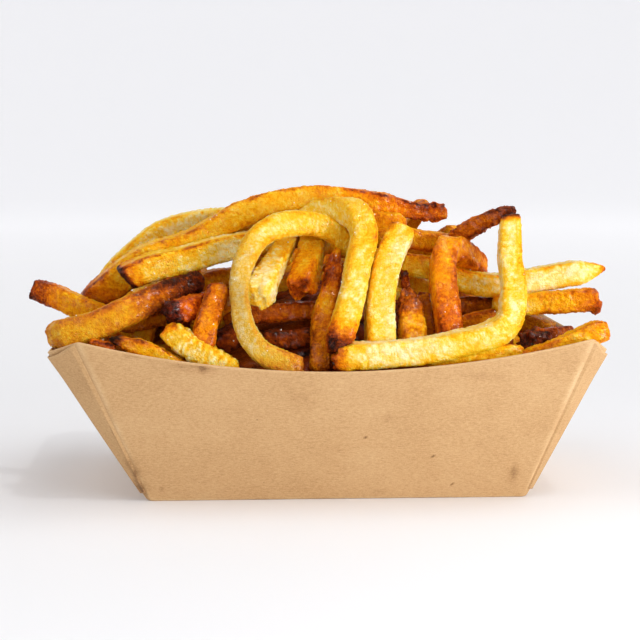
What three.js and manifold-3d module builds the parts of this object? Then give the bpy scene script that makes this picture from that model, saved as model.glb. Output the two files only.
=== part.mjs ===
// French fries heaped in a folded kraft paperboard tray.
//
// Units are millimetres and +Z is up. The origin is the middle of the tray's base, on the
// surface that the tray stands on. +X runs along the tray and -Y is its front.
// Two solids: the tray, folded from one board, and the heap, which is a smooth core with
// the fries that show fused onto it.

import * as THREE from 'three';
import { mergeVertices } from 'three/addons/utils/BufferGeometryUtils.js';
import Module from 'manifold-3d';

const wasm = await Module();
wasm.setup();

// ---------------------------------------------------------------- driving dimensions

const BOARD = 0.6;                // thickness of the folded board
const BASE = { halfLength: 62, halfWidth: 39, chamfer: 1.2 };
const PEAK = { left: -81.3, right: 78.5, halfWidth: 60, height: 54.5 };   // tips of the long walls
const LEFT_END = { x: -91.7, halfWidth: 52, height: 50.4 };
const RIGHT_END = { x: 84.3, halfWidth: 54, height: 50.4 };
const RIM_DIP = 44.1;             // lowest point of each long wall's curved rim
const LONG_WALL_STEPS = 16;
// Glued corner webs: how far they reach along the end wall at the rim and at the foot, how
// thick they are, how deep they sink into the wall, how far below the rim they stop, and the
// share of the wall's height at which they start.
const FLAP = { reach: 27, foot: 3, thickness: 0.5, sink: 0.2, below: 1.0, low: 0.06 };

// The core: its gap to the tray, the heights of its underside, edge and dome, where across
// the tray the dome is highest, how fast it falls towards the ends, and how far its corners
// are cut. Its dome is lofted through rings at these shares of the way out.
const CORE = { gap: 0.5, floor: 1.1, edge: 35, crown: 33, centreY: 8, endFall: 1.6, corner: 0.9 };
const CORE_SIDES = 36;
const DOME_RINGS = [0.86, 0.68, 0.48, 0.26];

// A fry: the bevel of its corners and the size of a plain square section as shares of half its
// width, its narrowed ends, and how many steps it takes for its length and for each waypoint.
const FRY = {
  bevel: 0.34, squareScale: 0.93, endLength: 1.8, endScale: 0.66, stepLength: 22, stepTurn: 0.46,
};
const SPHERE_STEP = 3.2;          // spacing of the spheres that stand for a fry while it is placed
const FILLER = {
  count: 76, drops: 220, seed: 7,
  alongX: [-84, 78], alongY: [-44, 50],      // where their middles may lie
  length: [36, 84], width: [7.0, 9.4], flatness: [0.82, 1],
  heading: 0.55, sag: 2.4, bend: 7,
  touch: 0.8,                     // share of the two radii that two fries keep between their axes
  touchFixed: 0.78,               // the same, from the fries that are placed by hand
  sink: 0.15,                     // share of its radius that a fry stands off the core
  longFirst: 0.05,                // how much a long fry is preferred over one that lies lower
  wallGap: 1.3, overhang: 9, maxSlope: 0.55,
};

// How high the fries laid by rule may reach, so that the loose upper ones stay loose: under
// the long arching fries on the left, in the middle, and falling towards both ends and the front.
const CEILING = {
  arch: 76, archBefore: -45,
  middle: 83, middleX: 7, middleHalf: 16, middleFall: 0.5,
  leftEnd: 57, leftX: -80, leftFall: 1.2,
  rightEnd: 46, rightX: 80, rightFall: 1.1,
  front: 55, frontY: -30, frontRise: 0.55,
};

// ---------------------------------------------------------------- small helpers

const lerp = (a, b, t) => a + (b - a) * t;

function seededRandom(seed) {
  let state = seed;
  return () => {
    state = (1664525 * state + 1013904223) % 4294967296;
    return state / 4294967296;
  };
}

// A closed body from vertex positions and triangles.
function bodyFromArrays(positions, triangles) {
  const raw = new THREE.BufferGeometry();
  raw.setAttribute('position', new THREE.Float32BufferAttribute(positions, 3));
  raw.setIndex(triangles);
  return raw;
}

function toManifold(geometry) {
  const bare = geometry.clone();
  bare.deleteAttribute('normal');
  bare.deleteAttribute('uv');
  const merged = mergeVertices(bare, 1e-4);
  return new wasm.Manifold(new wasm.Mesh({
    numProp: 3,
    vertProperties: new Float32Array(merged.attributes.position.array),
    triVerts: new Uint32Array(merged.index.array),
  }));
}

function toGeometry(manifold) {
  const mesh = manifold.getMesh();
  const geometry = bodyFromArrays(Array.from(mesh.vertProperties), Array.from(mesh.triVerts));
  geometry.computeVertexNormals();
  return geometry;
}

// Joins the rings of a loft, each ring a list of points with the same count, and closes both
// ends with a fan round a middle point. Rings run anticlockwise seen against the way they
// advance, so the faces point out.
function loftBody(rings, firstCentre, lastCentre) {
  const count = rings[0].length;
  const positions = rings.flat().flatMap((p) => [p.x, p.y, p.z]);
  const triangles = [];
  for (let r = 0; r + 1 < rings.length; r += 1) {
    for (let i = 0; i < count; i += 1) {
      const a = r * count + i;
      const b = r * count + (i + 1) % count;
      triangles.push(a, b, b + count, a, b + count, a + count);
    }
  }
  const first = rings.length * count;
  const last = first + 1;
  positions.push(firstCentre.x, firstCentre.y, firstCentre.z);
  positions.push(lastCentre.x, lastCentre.y, lastCentre.z);
  const lastRing = (rings.length - 1) * count;
  for (let i = 0; i < count; i += 1) {
    const next = (i + 1) % count;
    triangles.push(first, next, i, last, lastRing + i, lastRing + next);
  }
  return bodyFromArrays(positions, triangles);
}

// ---------------------------------------------------------------- tray

// A leaning wall's thickness measured level, from how far out and how far up it goes.
const levelThickness = (out, up) => (BOARD * Math.hypot(out, up)) / up;
const LONG_WALL_IN = levelThickness(PEAK.halfWidth - BASE.halfWidth, PEAK.height);
const endWallIn = (end) => levelThickness(Math.abs(end.x) - BASE.halfLength, end.height);

// The long walls lean out as flat panels, and their rims dip in a shallow parabola.
const longWallY = (z) => lerp(BASE.halfWidth, PEAK.halfWidth, z / PEAK.height);

function longRimHeight(x) {
  const middle = (PEAK.left + PEAK.right) / 2;
  const half = (PEAK.right - PEAK.left) / 2;
  return lerp(RIM_DIP, PEAK.height, ((x - middle) / half) ** 2);
}

// Columns of the wall, anticlockwise from above, starting at the front-left peak. Each has
// its foot on the base, its head on the rim, and the plan direction that points in.
function wallColumns() {
  const columns = [];
  const { halfLength, halfWidth, chamfer } = BASE;
  const corner = 0.4;             // a column at a fold moves in both ways, this share of the other
  const longWall = (side, from, to) => {
    for (let i = 0; i <= LONG_WALL_STEPS; i += 1) {
      const t = i / LONG_WALL_STEPS;
      const footX = lerp(-halfLength + chamfer, halfLength - chamfer, from + (to - from) * t);
      const headX = lerp(PEAK.left, PEAK.right, from + (to - from) * t);
      const height = longRimHeight(headX);
      const atEnd = i === 0 || i === LONG_WALL_STEPS;
      const inX = atEnd ? -Math.sign(headX) * corner * endWallIn(headX < 0 ? LEFT_END : RIGHT_END) : 0;
      columns.push({
        foot: new THREE.Vector3(footX, side * halfWidth, 0),
        head: new THREE.Vector3(headX, side * longWallY(height), height),
        inward: new THREE.Vector3(inX, -side * LONG_WALL_IN, 0),
      });
    }
  };
  const endWall = (end, from, to) => {
    const sign = Math.sign(end.x);
    const footX = sign * halfLength;
    for (const y of [from, to]) {
      columns.push({
        foot: new THREE.Vector3(footX, y * (halfWidth - chamfer), 0),
        head: new THREE.Vector3(end.x, y * end.halfWidth, end.height),
        inward: new THREE.Vector3(-sign * endWallIn(end), -y * corner * LONG_WALL_IN, 0),
      });
    }
  };
  longWall(-1, 0, 1);
  endWall(RIGHT_END, -1, 1);
  longWall(1, 1, 0);
  endWall(LEFT_END, 1, -1);
  return columns;
}

function trayShell() {
  const columns = wallColumns();
  const inner = ({ foot, head, inward }, t) => {
    const point = foot.clone().lerp(head, t).add(inward);
    return t === 0 ? point.setZ(BOARD) : point;
  };
  const rings = [
    columns.map((c) => c.foot.clone()),
    columns.map((c) => c.head.clone()),
    columns.map((c) => inner(c, 1)),
    columns.map((c) => inner(c, 0)),
  ];
  return loftBody(rings, new THREE.Vector3(0, 0, 0), new THREE.Vector3(0, 0, BOARD));
}

// One corner's web: the surplus board of the corner, folded round the bevel and glued flat
// on the outside of the end wall. It tapers to the base corner and stops just below the rim.
function cornerFlap(end, side) {
  const sign = Math.sign(end.x);
  const peakX = sign < 0 ? PEAK.left : PEAK.right;
  const foot = BASE.halfWidth - BASE.chamfer;
  const columns = [
    {
      foot: new THREE.Vector3(sign * (BASE.halfLength - BASE.chamfer), side * BASE.halfWidth, 0),
      head: new THREE.Vector3(peakX, side * PEAK.halfWidth, PEAK.height),
      out: new THREE.Vector3(sign * 0.35, side, 0),
      rise: FLAP.thickness * 0.1,
      high: 1 - 0.2 * FLAP.below / PEAK.height,
    },
    {
      foot: new THREE.Vector3(sign * BASE.halfLength, side * foot, 0),
      head: new THREE.Vector3(end.x, side * end.halfWidth, end.height),
      out: new THREE.Vector3(sign, side * 0.5, 0),
      rise: FLAP.thickness,
      high: 1 - FLAP.below / end.height,
    },
    {
      foot: new THREE.Vector3(sign * BASE.halfLength, side * (foot - FLAP.foot), 0),
      head: new THREE.Vector3(end.x, side * (end.halfWidth - FLAP.reach), end.height),
      out: new THREE.Vector3(sign, 0, 0),
      rise: FLAP.thickness,
      high: 1 - FLAP.below / end.height,
    },
  ];
  const at = (column, share, offset) => column.foot.clone().lerp(column.head, share)
    .addScaledVector(column.out, offset);
  const section = (column) => [
    at(column, FLAP.low, -FLAP.sink), at(column, FLAP.low, column.rise),
    at(column, column.high, column.rise), at(column, column.high, -FLAP.sink),
  ];
  const rings = columns.map(section);
  if (sign * side > 0) rings.reverse();
  const middle = (ring) => ring.reduce((sum, p) => sum.add(p), new THREE.Vector3()).divideScalar(4);
  return loftBody(rings, middle(rings[0]), middle(rings[rings.length - 1]));
}

function trayGeometry() {
  let tray = toManifold(trayShell());
  for (const end of [LEFT_END, RIGHT_END]) {
    for (const side of [-1, 1]) tray = tray.add(toManifold(cornerFlap(end, side)));
  }
  return toGeometry(tray);
}

// ---------------------------------------------------------------- heap: the core

// Half-extents of the space inside the tray at a height, short of the walls by a gap.
function roomAt(z, gap) {
  const y = longWallY(z) - LONG_WALL_IN - gap;
  const right = lerp(BASE.halfLength, RIGHT_END.x, z / RIGHT_END.height) - endWallIn(RIGHT_END) - gap;
  const left = lerp(-BASE.halfLength, LEFT_END.x, z / LEFT_END.height) + endWallIn(LEFT_END) + gap;
  return { left, right, y };
}

function coreHeight(x, y) {
  const room = roomAt(CORE.edge, 0);
  const middle = (room.left + room.right) / 2;
  const along = (x - middle) / (room.right - middle);
  const behind = y > CORE.centreY;
  const across = (y - CORE.centreY) / (behind ? room.y - CORE.centreY : room.y + CORE.centreY);
  const dome = Math.max(0, 1 - along ** 2) ** CORE.endFall * Math.max(0, 1 - across ** 2);
  return CORE.edge + CORE.crown * dome;
}

// A plan outline that fills the tray: a rectangle with its corners cut, sampled evenly in angle.
function planPoint(room, share, angle) {
  const c = Math.cos(angle);
  const s = Math.sin(angle);
  const flat = 1 / Math.max(Math.abs(c), Math.abs(s));
  const corner = (2 * CORE.corner) / (Math.abs(c) + Math.abs(s));
  const reach = Math.min(flat, corner) * share;
  const x = reach * c * (c > 0 ? room.right : -room.left);
  return new THREE.Vector2(x, reach * s * room.y);
}

function coreGeometry() {
  const angles = Array.from({ length: CORE_SIDES }, (_, i) => (i * 2 * Math.PI) / CORE_SIDES);
  const wallRing = (z) => {
    const room = roomAt(z, CORE.gap);
    return angles.map((a) => {
      const p = planPoint(room, 1, a);
      return new THREE.Vector3(p.x, p.y, z);
    });
  };
  const edgeRoom = roomAt(CORE.edge, CORE.gap);
  const domeRing = (share) => angles.map((a) => {
    const p = planPoint(edgeRoom, share, a);
    return new THREE.Vector3(p.x, p.y, coreHeight(p.x, p.y));
  });
  const shoulder = CORE.edge - 2;
  const rings = [wallRing(CORE.floor), wallRing(shoulder), ...DOME_RINGS.map(domeRing)];
  const top = new THREE.Vector3(0, 0, coreHeight(0, 0));
  return loftBody(rings, new THREE.Vector3(0, 0, CORE.floor), top);
}

// ---------------------------------------------------------------- heap: the fries

// Fries that can be told apart from the front. Each has its width, its height as a share of
// the width, and the points that its middle line passes through, chosen by hand.
const FRIES = {
  long_left_front: [9, 0.95, [[-92, -44, 54.2], [-86, -43, 55.4], [-79, -42, 57], [-69, -40, 61.5],
    [-63, -38, 64], [-56, -35, 67], [-49, -31, 69.5], [-43.5, -28, 71]]],
  brown_left_out: [7.9, 1.0, [[-99, -20, 67.6], [-92, -22, 65], [-82, -25, 61], [-72, -27, 57],
    [-60, -28, 52]]],
  pale_back_arch: [8.1, 1.0, [[-77.5, -12, 66.5], [-73.2, -8, 72.5], [-66.3, -6, 79.2],
    [-57.5, -5, 85.5], [-45.5, -5, 88.6], [-28.5, -5, 89.2], [-14, 0, 86], [-1, 6, 81]]],
  long_over_top: [8.3, 1.0, [[-84.5, -9, 59.3], [-79.5, -14, 64.2], [-73.8, -18, 69],
    [-68, -20, 73.4], [-60, -21, 78.2], [-48, -20, 82.2], [-39.5, -19, 87], [-31.5, -18.5, 91.5],
    [-20.5, -17, 95], [-7.5, -16, 97.3], [5.5, -15, 96.5], [19, -14, 94.5], [29, -13, 92.5],
    [38.3, -12, 91.8]]],
  cut_tip_left: [8.6, 1.0, [[-69, -31, 71.7], [-60.5, -29, 75], [-51.5, -27, 77], [-41.5, -25, 80],
    [-31.5, -22, 82], [-20, -17, 83], [-6, -8, 84]]],
  olive_behind_left: [7.2, 1.0, [[-48, -8, 66], [-40.5, -6, 69], [-32, -2, 70], [-17.5, 4, 74]]],
  orange_upright_left: [8.3, 0.95, [[-38, -38, 70], [-40, -42, 63.5], [-42.5, -45, 57.5],
    [-43.5, -47, 49.5]]],
  dark_nub: [7.6, 1.0, [[-55, -45, 60.5], [-52, -44, 62], [-47.5, -40, 63], [-43, -22, 63],
    [-39.5, -5, 62]]],
  wedge_front_left: [6, 1.0, [[-72.5, -49, 54], [-67, -49, 52.5], [-60, -49, 50], [-53, -48, 46],
    [-46, -46, 42], [-38, -43, 38.5]]],
  crinkled_pale: [8.2, 1.0, [[-54, -48, 57], [-47.5, -48, 51.5], [-39.5, -48.5, 47],
    [-32.5, -48, 42.5]]],
  olive_shade_left: [5.5, 1.0, [[-71, -34, 57], [-62, -32, 58], [-53, -28, 59]]],
  orange_bit_left: [3.6, 1.0, [[-79, -47, 52.5], [-74.5, -48, 52], [-70.5, -48, 51]]],
  ring: [7.8, 0.95, [[-12, -49, 45], [-18, -50, 46.5], [-25, -50, 50], [-30, -49, 57],
    [-31.5, -46, 64.5], [-31.5, -43, 71.5], [-30, -40, 77.5], [-26, -37, 84.5], [-20, -34, 88.3],
    [-12.5, -31, 89.5], [-5, -28, 88.3], [1.8, -26, 84.3], [4.4, -25, 78]]],
  hook: [8.8, 0.95, [[-12, -20, 88], [-4.5, -22, 92], [2.5, -27, 93.5], [6.8, -33, 91.5],
    [8.3, -37, 86], [6.8, -40, 79.5], [4.8, -44, 70.5], [1.8, -47, 60], [-1.3, -50, 50.5]]],
  pale_upright: [10.3, 0.88, [[21.3, -33, 87.3], [18.2, -35, 81], [15, -38, 73.5], [13.5, -40, 66],
    [13, -42, 58.5], [13, -44, 49]]],
  stub_cream: [8.2, 1.0, [[-10.5, 4, 84.5], [-14, -10, 85.5], [-16.5, -22, 82], [-21, -33, 75],
    [-26.3, -45.5, 66.3]]],
  stub_brown_end: [8.8, 0.95, [[4, 2, 80], [-2, -10, 83], [-7, -20, 82], [-9, -28, 76],
    [-12, -36, 68]]],
  tall_brown: [6.9, 1.0, [[0.8, -28, 82], [-1, -31, 76], [-2, -34, 69.5], [-4.5, -38, 61],
    [-5.5, -42, 52.5], [-6, -45, 42]]],
  dark_tipped_upright: [9.4, 0.9, [[23, -31, 67.5], [24, -35, 59.5], [24, -42, 48]]],
  dark_sliver: [3.4, 0.9, [[22, -28, 73.5], [22.8, -29, 69], [23.6, -31, 64], [24, -34, 58]]],
  orange_behind_top: [8.4, 1.0, [[10.5, -16, 89.5], [16.5, -17, 88.5], [24, -18, 88]]],
  big_hook_right: [8.8, 0.95, [[-2.5, -50, 48], [3.5, -50, 48.3], [12.5, -50, 48.6],
    [25, -50, 49.8], [37.5, -50, 52.2], [47.5, -49, 54.3], [54, -47, 58.8], [55.8, -44, 66.8],
    [55.4, -41, 76.5], [55.6, -38, 85.5], [56, -37, 92.5]]],
  bent_orange: [8.7, 0.95, [[36, -42, 49], [35.5, -40, 59], [34, -37, 70], [34.3, -34, 77.5],
    [37.8, -29, 80.8], [43.5, -24, 77.5], [49, -18, 72.5]]],
  brown_back_right: [5.9, 1.0, [[39, -18, 82], [43.5, -22, 86], [48.5, -26, 89.5],
    [54.5, -30, 92.4], [58.5, -31, 93.6]]],
  golden_behind_right: [7, 1.0, [[12, -20, 83.5], [21, -21, 84.5], [30, -20, 83], [40, -14, 81.5]]],
  golden_end_right: [5.6, 1.0, [[42, -11, 85.8], [37, -2, 82], [29, 8, 76]]],
  golden_bit_top: [5, 1.0, [[31, -8, 94.5], [29, 0, 90], [26, 8, 83], [22, 14, 76]]],
  pale_right_out: [8, 1.0, [[19.5, -23, 75.5], [31.5, -24, 74.3], [43, -25, 70], [53.5, -26, 68.5],
    [64, -26, 70], [75.5, -25, 72], [90, -24, 73.8]]],
  torn_right_out: [8.4, 0.95, [[51.5, -28, 62.5], [60.5, -30, 62.5], [68.5, -31, 63],
    [76.5, -32, 63.7], [85.5, -33, 64.5]]],
  dark_behind_right: [6.7, 1.0, [[29, -14, 55], [40, -22, 60.5], [48, -22, 61], [56, -20, 60],
    [65, -14, 53]]],
  golden_shade_right: [4.8, 1.0, [[38, -34, 56], [46, -32, 58], [55, -28, 59]]],
  crisp_brown_right: [6.5, 1.0, [[59, -46, 52], [67, -38, 52], [78, -28, 52]]],
  olive_shade_right: [6.2, 1.0, [[58, -16, 56.5], [65, -22, 55.5], [72, -29, 53]]],
  rim_right: [6.4, 0.95, [[51, -46, 43], [59, -48, 46.5], [67.5, -50, 49.5], [74.5, -50, 52.2],
    [80.5, -50, 55.4], [84.8, -50, 56.4]]],
  pale_under_hook: [5.9, 1.0, [[27, -49, 46.5], [36, -50, 48.3], [46, -50, 49], [57.5, -49, 48.8]]],
  orange_gap: [4.8, 1.0, [[29, -26, 66], [29, -30, 60], [30, -33, 51], [30, -34, 43]]],
  shaded_across: [6.6, 1.0, [[-36, -21, 55.5], [-28, -26, 59], [-17, -27, 60], [-6, -26, 60],
    [2, -21, 56]]],
  dark_across: [6.5, 1.0, [[-25, -34, 52], [-15, -34, 52], [-7, -32, 53]]],
  red_shade_left: [7.8, 1.0, [[-41, -36, 50], [-34, -34, 53], [-28, -30, 55]]],
  prop_left: [8, 1.0, [[-62, -16, 75], [-54, -2, 78], [-48, 14, 70], [-42, 30, 58]]],
  prop_middle: [8, 1.0, [[-30, -9, 82], [-24, 6, 81.5], [-16, 22, 73], [-8, 38, 61]]],
  prop_right: [7.4, 1.0, [[20, 8, 74], [31, 4, 76.5], [40, 6, 75], [47, 12, 70]]],
};

const curveThrough = (points) => new THREE.CatmullRomCurve3(
  points.map((p) => new THREE.Vector3(...p)), false, 'catmullrom', 0.5,
);

// The axis along which the middle line spreads least keeps the section from spinning.
function thinnestAxis(points) {
  const spread = [0, 1, 2].map((k) => {
    const values = points.map((p) => p[k]);
    return Math.max(...values) - Math.min(...values);
  });
  const axis = [0, 0, 0];
  axis[spread.indexOf(Math.min(...spread))] = 1;
  return new THREE.Vector3(...axis);
}

// The corners of a fry's section. Fries placed by hand have their corners bevelled; those
// laid by rule are plain squares a little smaller, so that their corners reach no further.
function sectionCorners(half, bevelled) {
  const flat = half * (1 - FRY.bevel);
  const square = half * FRY.squareScale;
  return bevelled
    ? [[half, flat], [flat, half], [-flat, half], [-half, flat],
      [-half, -flat], [-flat, -half], [flat, -half], [half, -flat]]
    : [[square, square], [-square, square], [-square, -square], [square, -square]];
}

// A square section carried along the middle line, with narrowed ends.
function fryGeometry([width, flatness, points], bevelled) {
  const curve = curveThrough(points);
  const length = curve.getLength();
  const turn = points.length > 3 ? points.length * FRY.stepTurn : 0;
  const middleSteps = Math.max(2, Math.round(length / FRY.stepLength + turn));
  const end = FRY.endLength / length;
  const places = [0];
  for (let i = 0; i <= middleSteps; i += 1) places.push(lerp(end, 1 - end, i / middleSteps));
  places.push(1);
  const corners = sectionCorners(width / 2, bevelled);
  const reference = thinnestAxis(points);
  const rings = places.map((u) => {
    const centre = curve.getPointAt(u);
    const tangent = curve.getTangentAt(u);
    const across = new THREE.Vector3().crossVectors(reference, tangent).normalize();
    const normal = new THREE.Vector3().crossVectors(tangent, across);
    const scale = u === 0 || u === 1 ? FRY.endScale : 1;
    return corners.map(([a, b]) => centre.clone()
      .addScaledVector(across, a * scale)
      .addScaledVector(normal, b * scale * flatness));
  });
  return loftBody(rings, curve.getPointAt(0), curve.getPointAt(1));
}

// Spheres along a fry, which stand for it while others are laid on it.
function spheresOf([width, , points]) {
  let length = 0;
  for (let i = 1; i < points.length; i += 1) {
    length += Math.hypot(...points[i].map((value, k) => value - points[i - 1][k]));
  }
  const count = Math.max(4, Math.round(length / SPHERE_STEP));
  return curveThrough(points).getPoints(count).map(({ x, y, z }) => ({ x, y, z, r: width / 2 }));
}

// How high the laid fries may reach at a place, so that the loose upper ones stay loose.
function ceilingAt(x, y) {
  const c = CEILING;
  const fromMiddle = Math.max(0, Math.abs(x - c.middleX) - c.middleHalf);
  const middle = x < c.archBefore ? c.arch : c.middle - c.middleFall * fromMiddle;
  const leftEnd = c.leftEnd + c.leftFall * Math.max(0, x - c.leftX);
  const rightEnd = c.rightEnd + c.rightFall * Math.max(0, c.rightX - x);
  const front = c.front + c.frontRise * Math.max(0, y - c.frontY);
  return Math.min(middle, leftEnd, rightEnd, front);
}

// Whether a sphere keeps clear of the tray, and hangs out over its ends only a little.
function clearsTray({ x, y, z, r }) {
  const room = roomAt(Math.min(z, RIM_DIP), FILLER.wallGap + r);
  if (Math.abs(y) > room.y) return false;
  const low = z - r < PEAK.height + 1;
  const spare = low ? 0 : FILLER.overhang + r;
  return x > room.left - spare && x < room.right + spare;
}

// The height at which a sphere would rest at a place on the core and the fries laid so far.
function restHeight(x, y, r, laid) {
  let height = coreHeight(x, y) + r * FILLER.sink;
  for (const s of laid) {
    const reach = (s.r + r) * FILLER.touch;
    const d2 = (s.x - x) ** 2 + (s.y - y) ** 2;
    if (d2 < reach * reach) height = Math.max(height, s.z + Math.sqrt(reach * reach - d2));
  }
  return height;
}

// A straight stick resting on uneven ground touches it on both sides of its middle: of all
// the lines through one place on each side, the one that is highest over the middle.
function restLine(places, heights) {
  let best = { middle: -Infinity, slope: 0 };
  for (let i = 0; i < places.length; i += 1) {
    for (let j = i + 1; j < places.length; j += 1) {
      if (places[i] > 0 || places[j] < 0) continue;
      const slope = (heights[j] - heights[i]) / (places[j] - places[i]);
      const middle = heights[i] - slope * places[i];
      if (middle > best.middle) best = { middle, slope };
    }
  }
  return best;
}

// One fry dropped at a random place: where it comes to rest, or null where it can't lie.
function droppedFry(random, laid, fixed) {
  const x = lerp(...FILLER.alongX, random());
  const y = lerp(...FILLER.alongY, random());
  const heading = (random() + random() - 1) * Math.PI * FILLER.heading;
  const length = lerp(...FILLER.length, random());
  const width = lerp(...FILLER.width, random());
  const sag = (random() - 0.5) * FILLER.sag;
  const bend = (random() - 0.5) * FILLER.bend;
  const flatness = lerp(...FILLER.flatness, random());
  const c = Math.cos(heading);
  const s = Math.sin(heading);
  const places = Array.from({ length: 9 }, (_, i) => (i / 8 - 0.5) * length);
  const heights = places.map((p) => restHeight(x + p * c, y + p * s, width / 2, laid));
  const line = restLine(places, heights);
  if (Math.abs(line.slope) > FILLER.maxSlope) return null;
  const point = (share) => {
    const p = share * length;
    const bow = 1 - 4 * share * share;
    const height = line.middle + p * line.slope - bow * sag;
    return [x + p * c - bow * bend * s, y + p * s + bow * bend * c, height];
  };
  const fry = [width, flatness, [point(-0.5), point(0), point(0.5)]];
  const spheres = spheresOf(fry);
  if (!spheres.every((q) => clearsTray(q) && q.z + q.r < ceilingAt(q.x, q.y))) return null;
  const apart = (q, h) => (q.x - h.x) ** 2 + (q.y - h.y) ** 2 + (q.z - h.z) ** 2
    > ((q.r + h.r) * FILLER.touchFixed) ** 2;
  if (!spheres.every((q) => fixed.every((h) => apart(q, h)))) return null;
  const rise = line.middle - coreHeight(x, y) - length * FILLER.longFirst;
  return { fry, spheres, rise };
}

// Lays fries one by one. Each is the one of several dropped fries that comes to rest nearest
// to the core, so the bare places fill first.
function layFillers(fixed) {
  const random = seededRandom(FILLER.seed);
  const laid = [];
  const fillers = [];
  for (let n = 0; n < FILLER.count; n += 1) {
    let best = null;
    for (let drop = 0; drop < FILLER.drops; drop += 1) {
      const dropped = droppedFry(random, laid, fixed);
      if (dropped && (!best || dropped.rise < best.rise)) best = dropped;
    }
    if (best) {
      laid.push(...best.spheres);
      fillers.push(best.fry);
    }
  }
  return fillers;
}

function heapGeometry() {
  const handPlaced = Object.values(FRIES);
  const fixed = handPlaced.flatMap(spheresOf);
  let heap = toManifold(coreGeometry());
  for (const fry of handPlaced) heap = heap.add(toManifold(fryGeometry(fry, true)));
  for (const fry of layFillers(fixed)) heap = heap.add(toManifold(fryGeometry(fry, false)));
  const pieces = heap.decompose().sort((a, b) => b.volume() - a.volume());
  return toGeometry(pieces[0]);
}

// ---------------------------------------------------------------- the model

function namedMesh(name, geometry, material) {
  const mesh = new THREE.Mesh(geometry, material);
  mesh.name = name;
  return mesh;
}

const kraft = new THREE.MeshStandardMaterial({ color: 0xc99b6a, roughness: 0.85, metalness: 0 });
const friedPotato = new THREE.MeshStandardMaterial({ color: 0xd9962f, roughness: 0.55, metalness: 0 });

const model = new THREE.Group();
model.add(namedMesh('tray', trayGeometry(), kraft));
model.add(namedMesh('fries', heapGeometry(), friedPotato));

export default model;
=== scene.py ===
# %% [markdown]
# # French fries heaped in a folded kraft tray
#
# The real object is a heap of hand-cut, fried potato sticks in a small tray folded from one
# sheet of brown paperboard. Almost everything that makes it look right is irregular: each stick
# bends its own way, its corners are browner than its faces, its ends are toasted, and its crust is
# covered in small blisters. So the lesson is about carrying one simple section along a curve,
# roughening it with noise, and letting a few numbers stored on the mesh drive the colour.
#
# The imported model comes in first, as a frame that fixes every place and size.

# %% Load the frame
import math

import bpy
import numpy as np
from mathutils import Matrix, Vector


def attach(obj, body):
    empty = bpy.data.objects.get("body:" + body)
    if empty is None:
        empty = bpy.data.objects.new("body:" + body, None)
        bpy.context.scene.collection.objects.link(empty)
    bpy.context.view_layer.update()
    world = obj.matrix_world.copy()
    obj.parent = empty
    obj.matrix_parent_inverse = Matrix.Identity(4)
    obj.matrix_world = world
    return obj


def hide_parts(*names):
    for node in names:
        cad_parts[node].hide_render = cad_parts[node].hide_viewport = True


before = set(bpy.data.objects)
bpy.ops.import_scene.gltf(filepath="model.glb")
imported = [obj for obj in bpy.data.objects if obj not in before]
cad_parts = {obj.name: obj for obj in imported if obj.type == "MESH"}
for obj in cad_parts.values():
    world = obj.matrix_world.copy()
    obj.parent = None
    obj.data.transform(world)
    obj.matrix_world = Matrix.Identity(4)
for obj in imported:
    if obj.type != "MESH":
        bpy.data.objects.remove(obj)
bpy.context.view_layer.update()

MM = 0.001                      # the numbers below are millimetres, and Blender works in metres

# %% [markdown]
# ## Camera
#
# A long lens, a little above the tray and turned slightly to the right, gives the flat and calm
# look of a product shot. The camera stands about half a metre away.

# %% Camera
CAMERA_PLACE = (-32.7, -550.0, 114.4)
CAMERA_TURN = (90.0 - 6.21, 0.0, -3.0)      # degrees: 6.21 down from level, 3 towards the right
CAMERA_LENS = 90.0

camera_data = bpy.data.cameras.new("camera")
camera_data.lens = CAMERA_LENS
camera_data.sensor_width = 36.0
camera_data.clip_start = 0.01
camera = bpy.data.objects.new("camera", camera_data)
camera.location = Vector(CAMERA_PLACE) * MM
camera.rotation_euler = [math.radians(a) for a in CAMERA_TURN]
bpy.context.scene.collection.objects.link(camera)
bpy.context.scene.camera = camera
print("camera", camera_data.lens, "mm lens at", tuple(round(v, 3) for v in camera.location))

# %% [markdown]
# ## From arrays to meshes
#
# Every surface here is a grid of points worked out with numpy: rows along the piece and columns
# around it. A closed grid has columns that meet again after one turn, and its first and last row
# shrink to single points, the poles, so the skin is watertight. A slab is two open grids, an
# outer and an inner one, joined round their edge. The mesh is then filled in one go with
# foreach_set, which is far quicker than adding faces one by one.

# %% Faces of a closed grid
def closed_faces(rows, columns, offset=0):
    """Faces of a closed grid with poles. Point 0 is the first pole, the rings follow, and the
    last point is the other pole. Each ring point joins its neighbour and the ring above."""
    rings = np.arange(rows * columns).reshape(rows, columns) + 1
    turned = np.roll(rings, -1, axis=1)
    quads = np.stack([rings[:-1], turned[:-1], turned[1:], rings[1:]], axis=-1).reshape(-1, 4)
    first, last = np.zeros(columns, int), np.full(columns, rows * columns + 1)
    fans = np.concatenate([
        np.stack([first, turned[0], rings[0]], axis=-1),
        np.stack([last, rings[-1], turned[-1]], axis=-1)])
    return quads + offset, fans + offset


def closed_points(grid):
    """The points of a closed grid whose first and last rows are single places."""
    columns = grid.shape[1]
    inner = grid[1:-1].reshape(-1, *grid.shape[2:])
    return np.concatenate([grid[0, :1], inner, grid[-1, :1]]), (grid.shape[0] - 2, columns)


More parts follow.
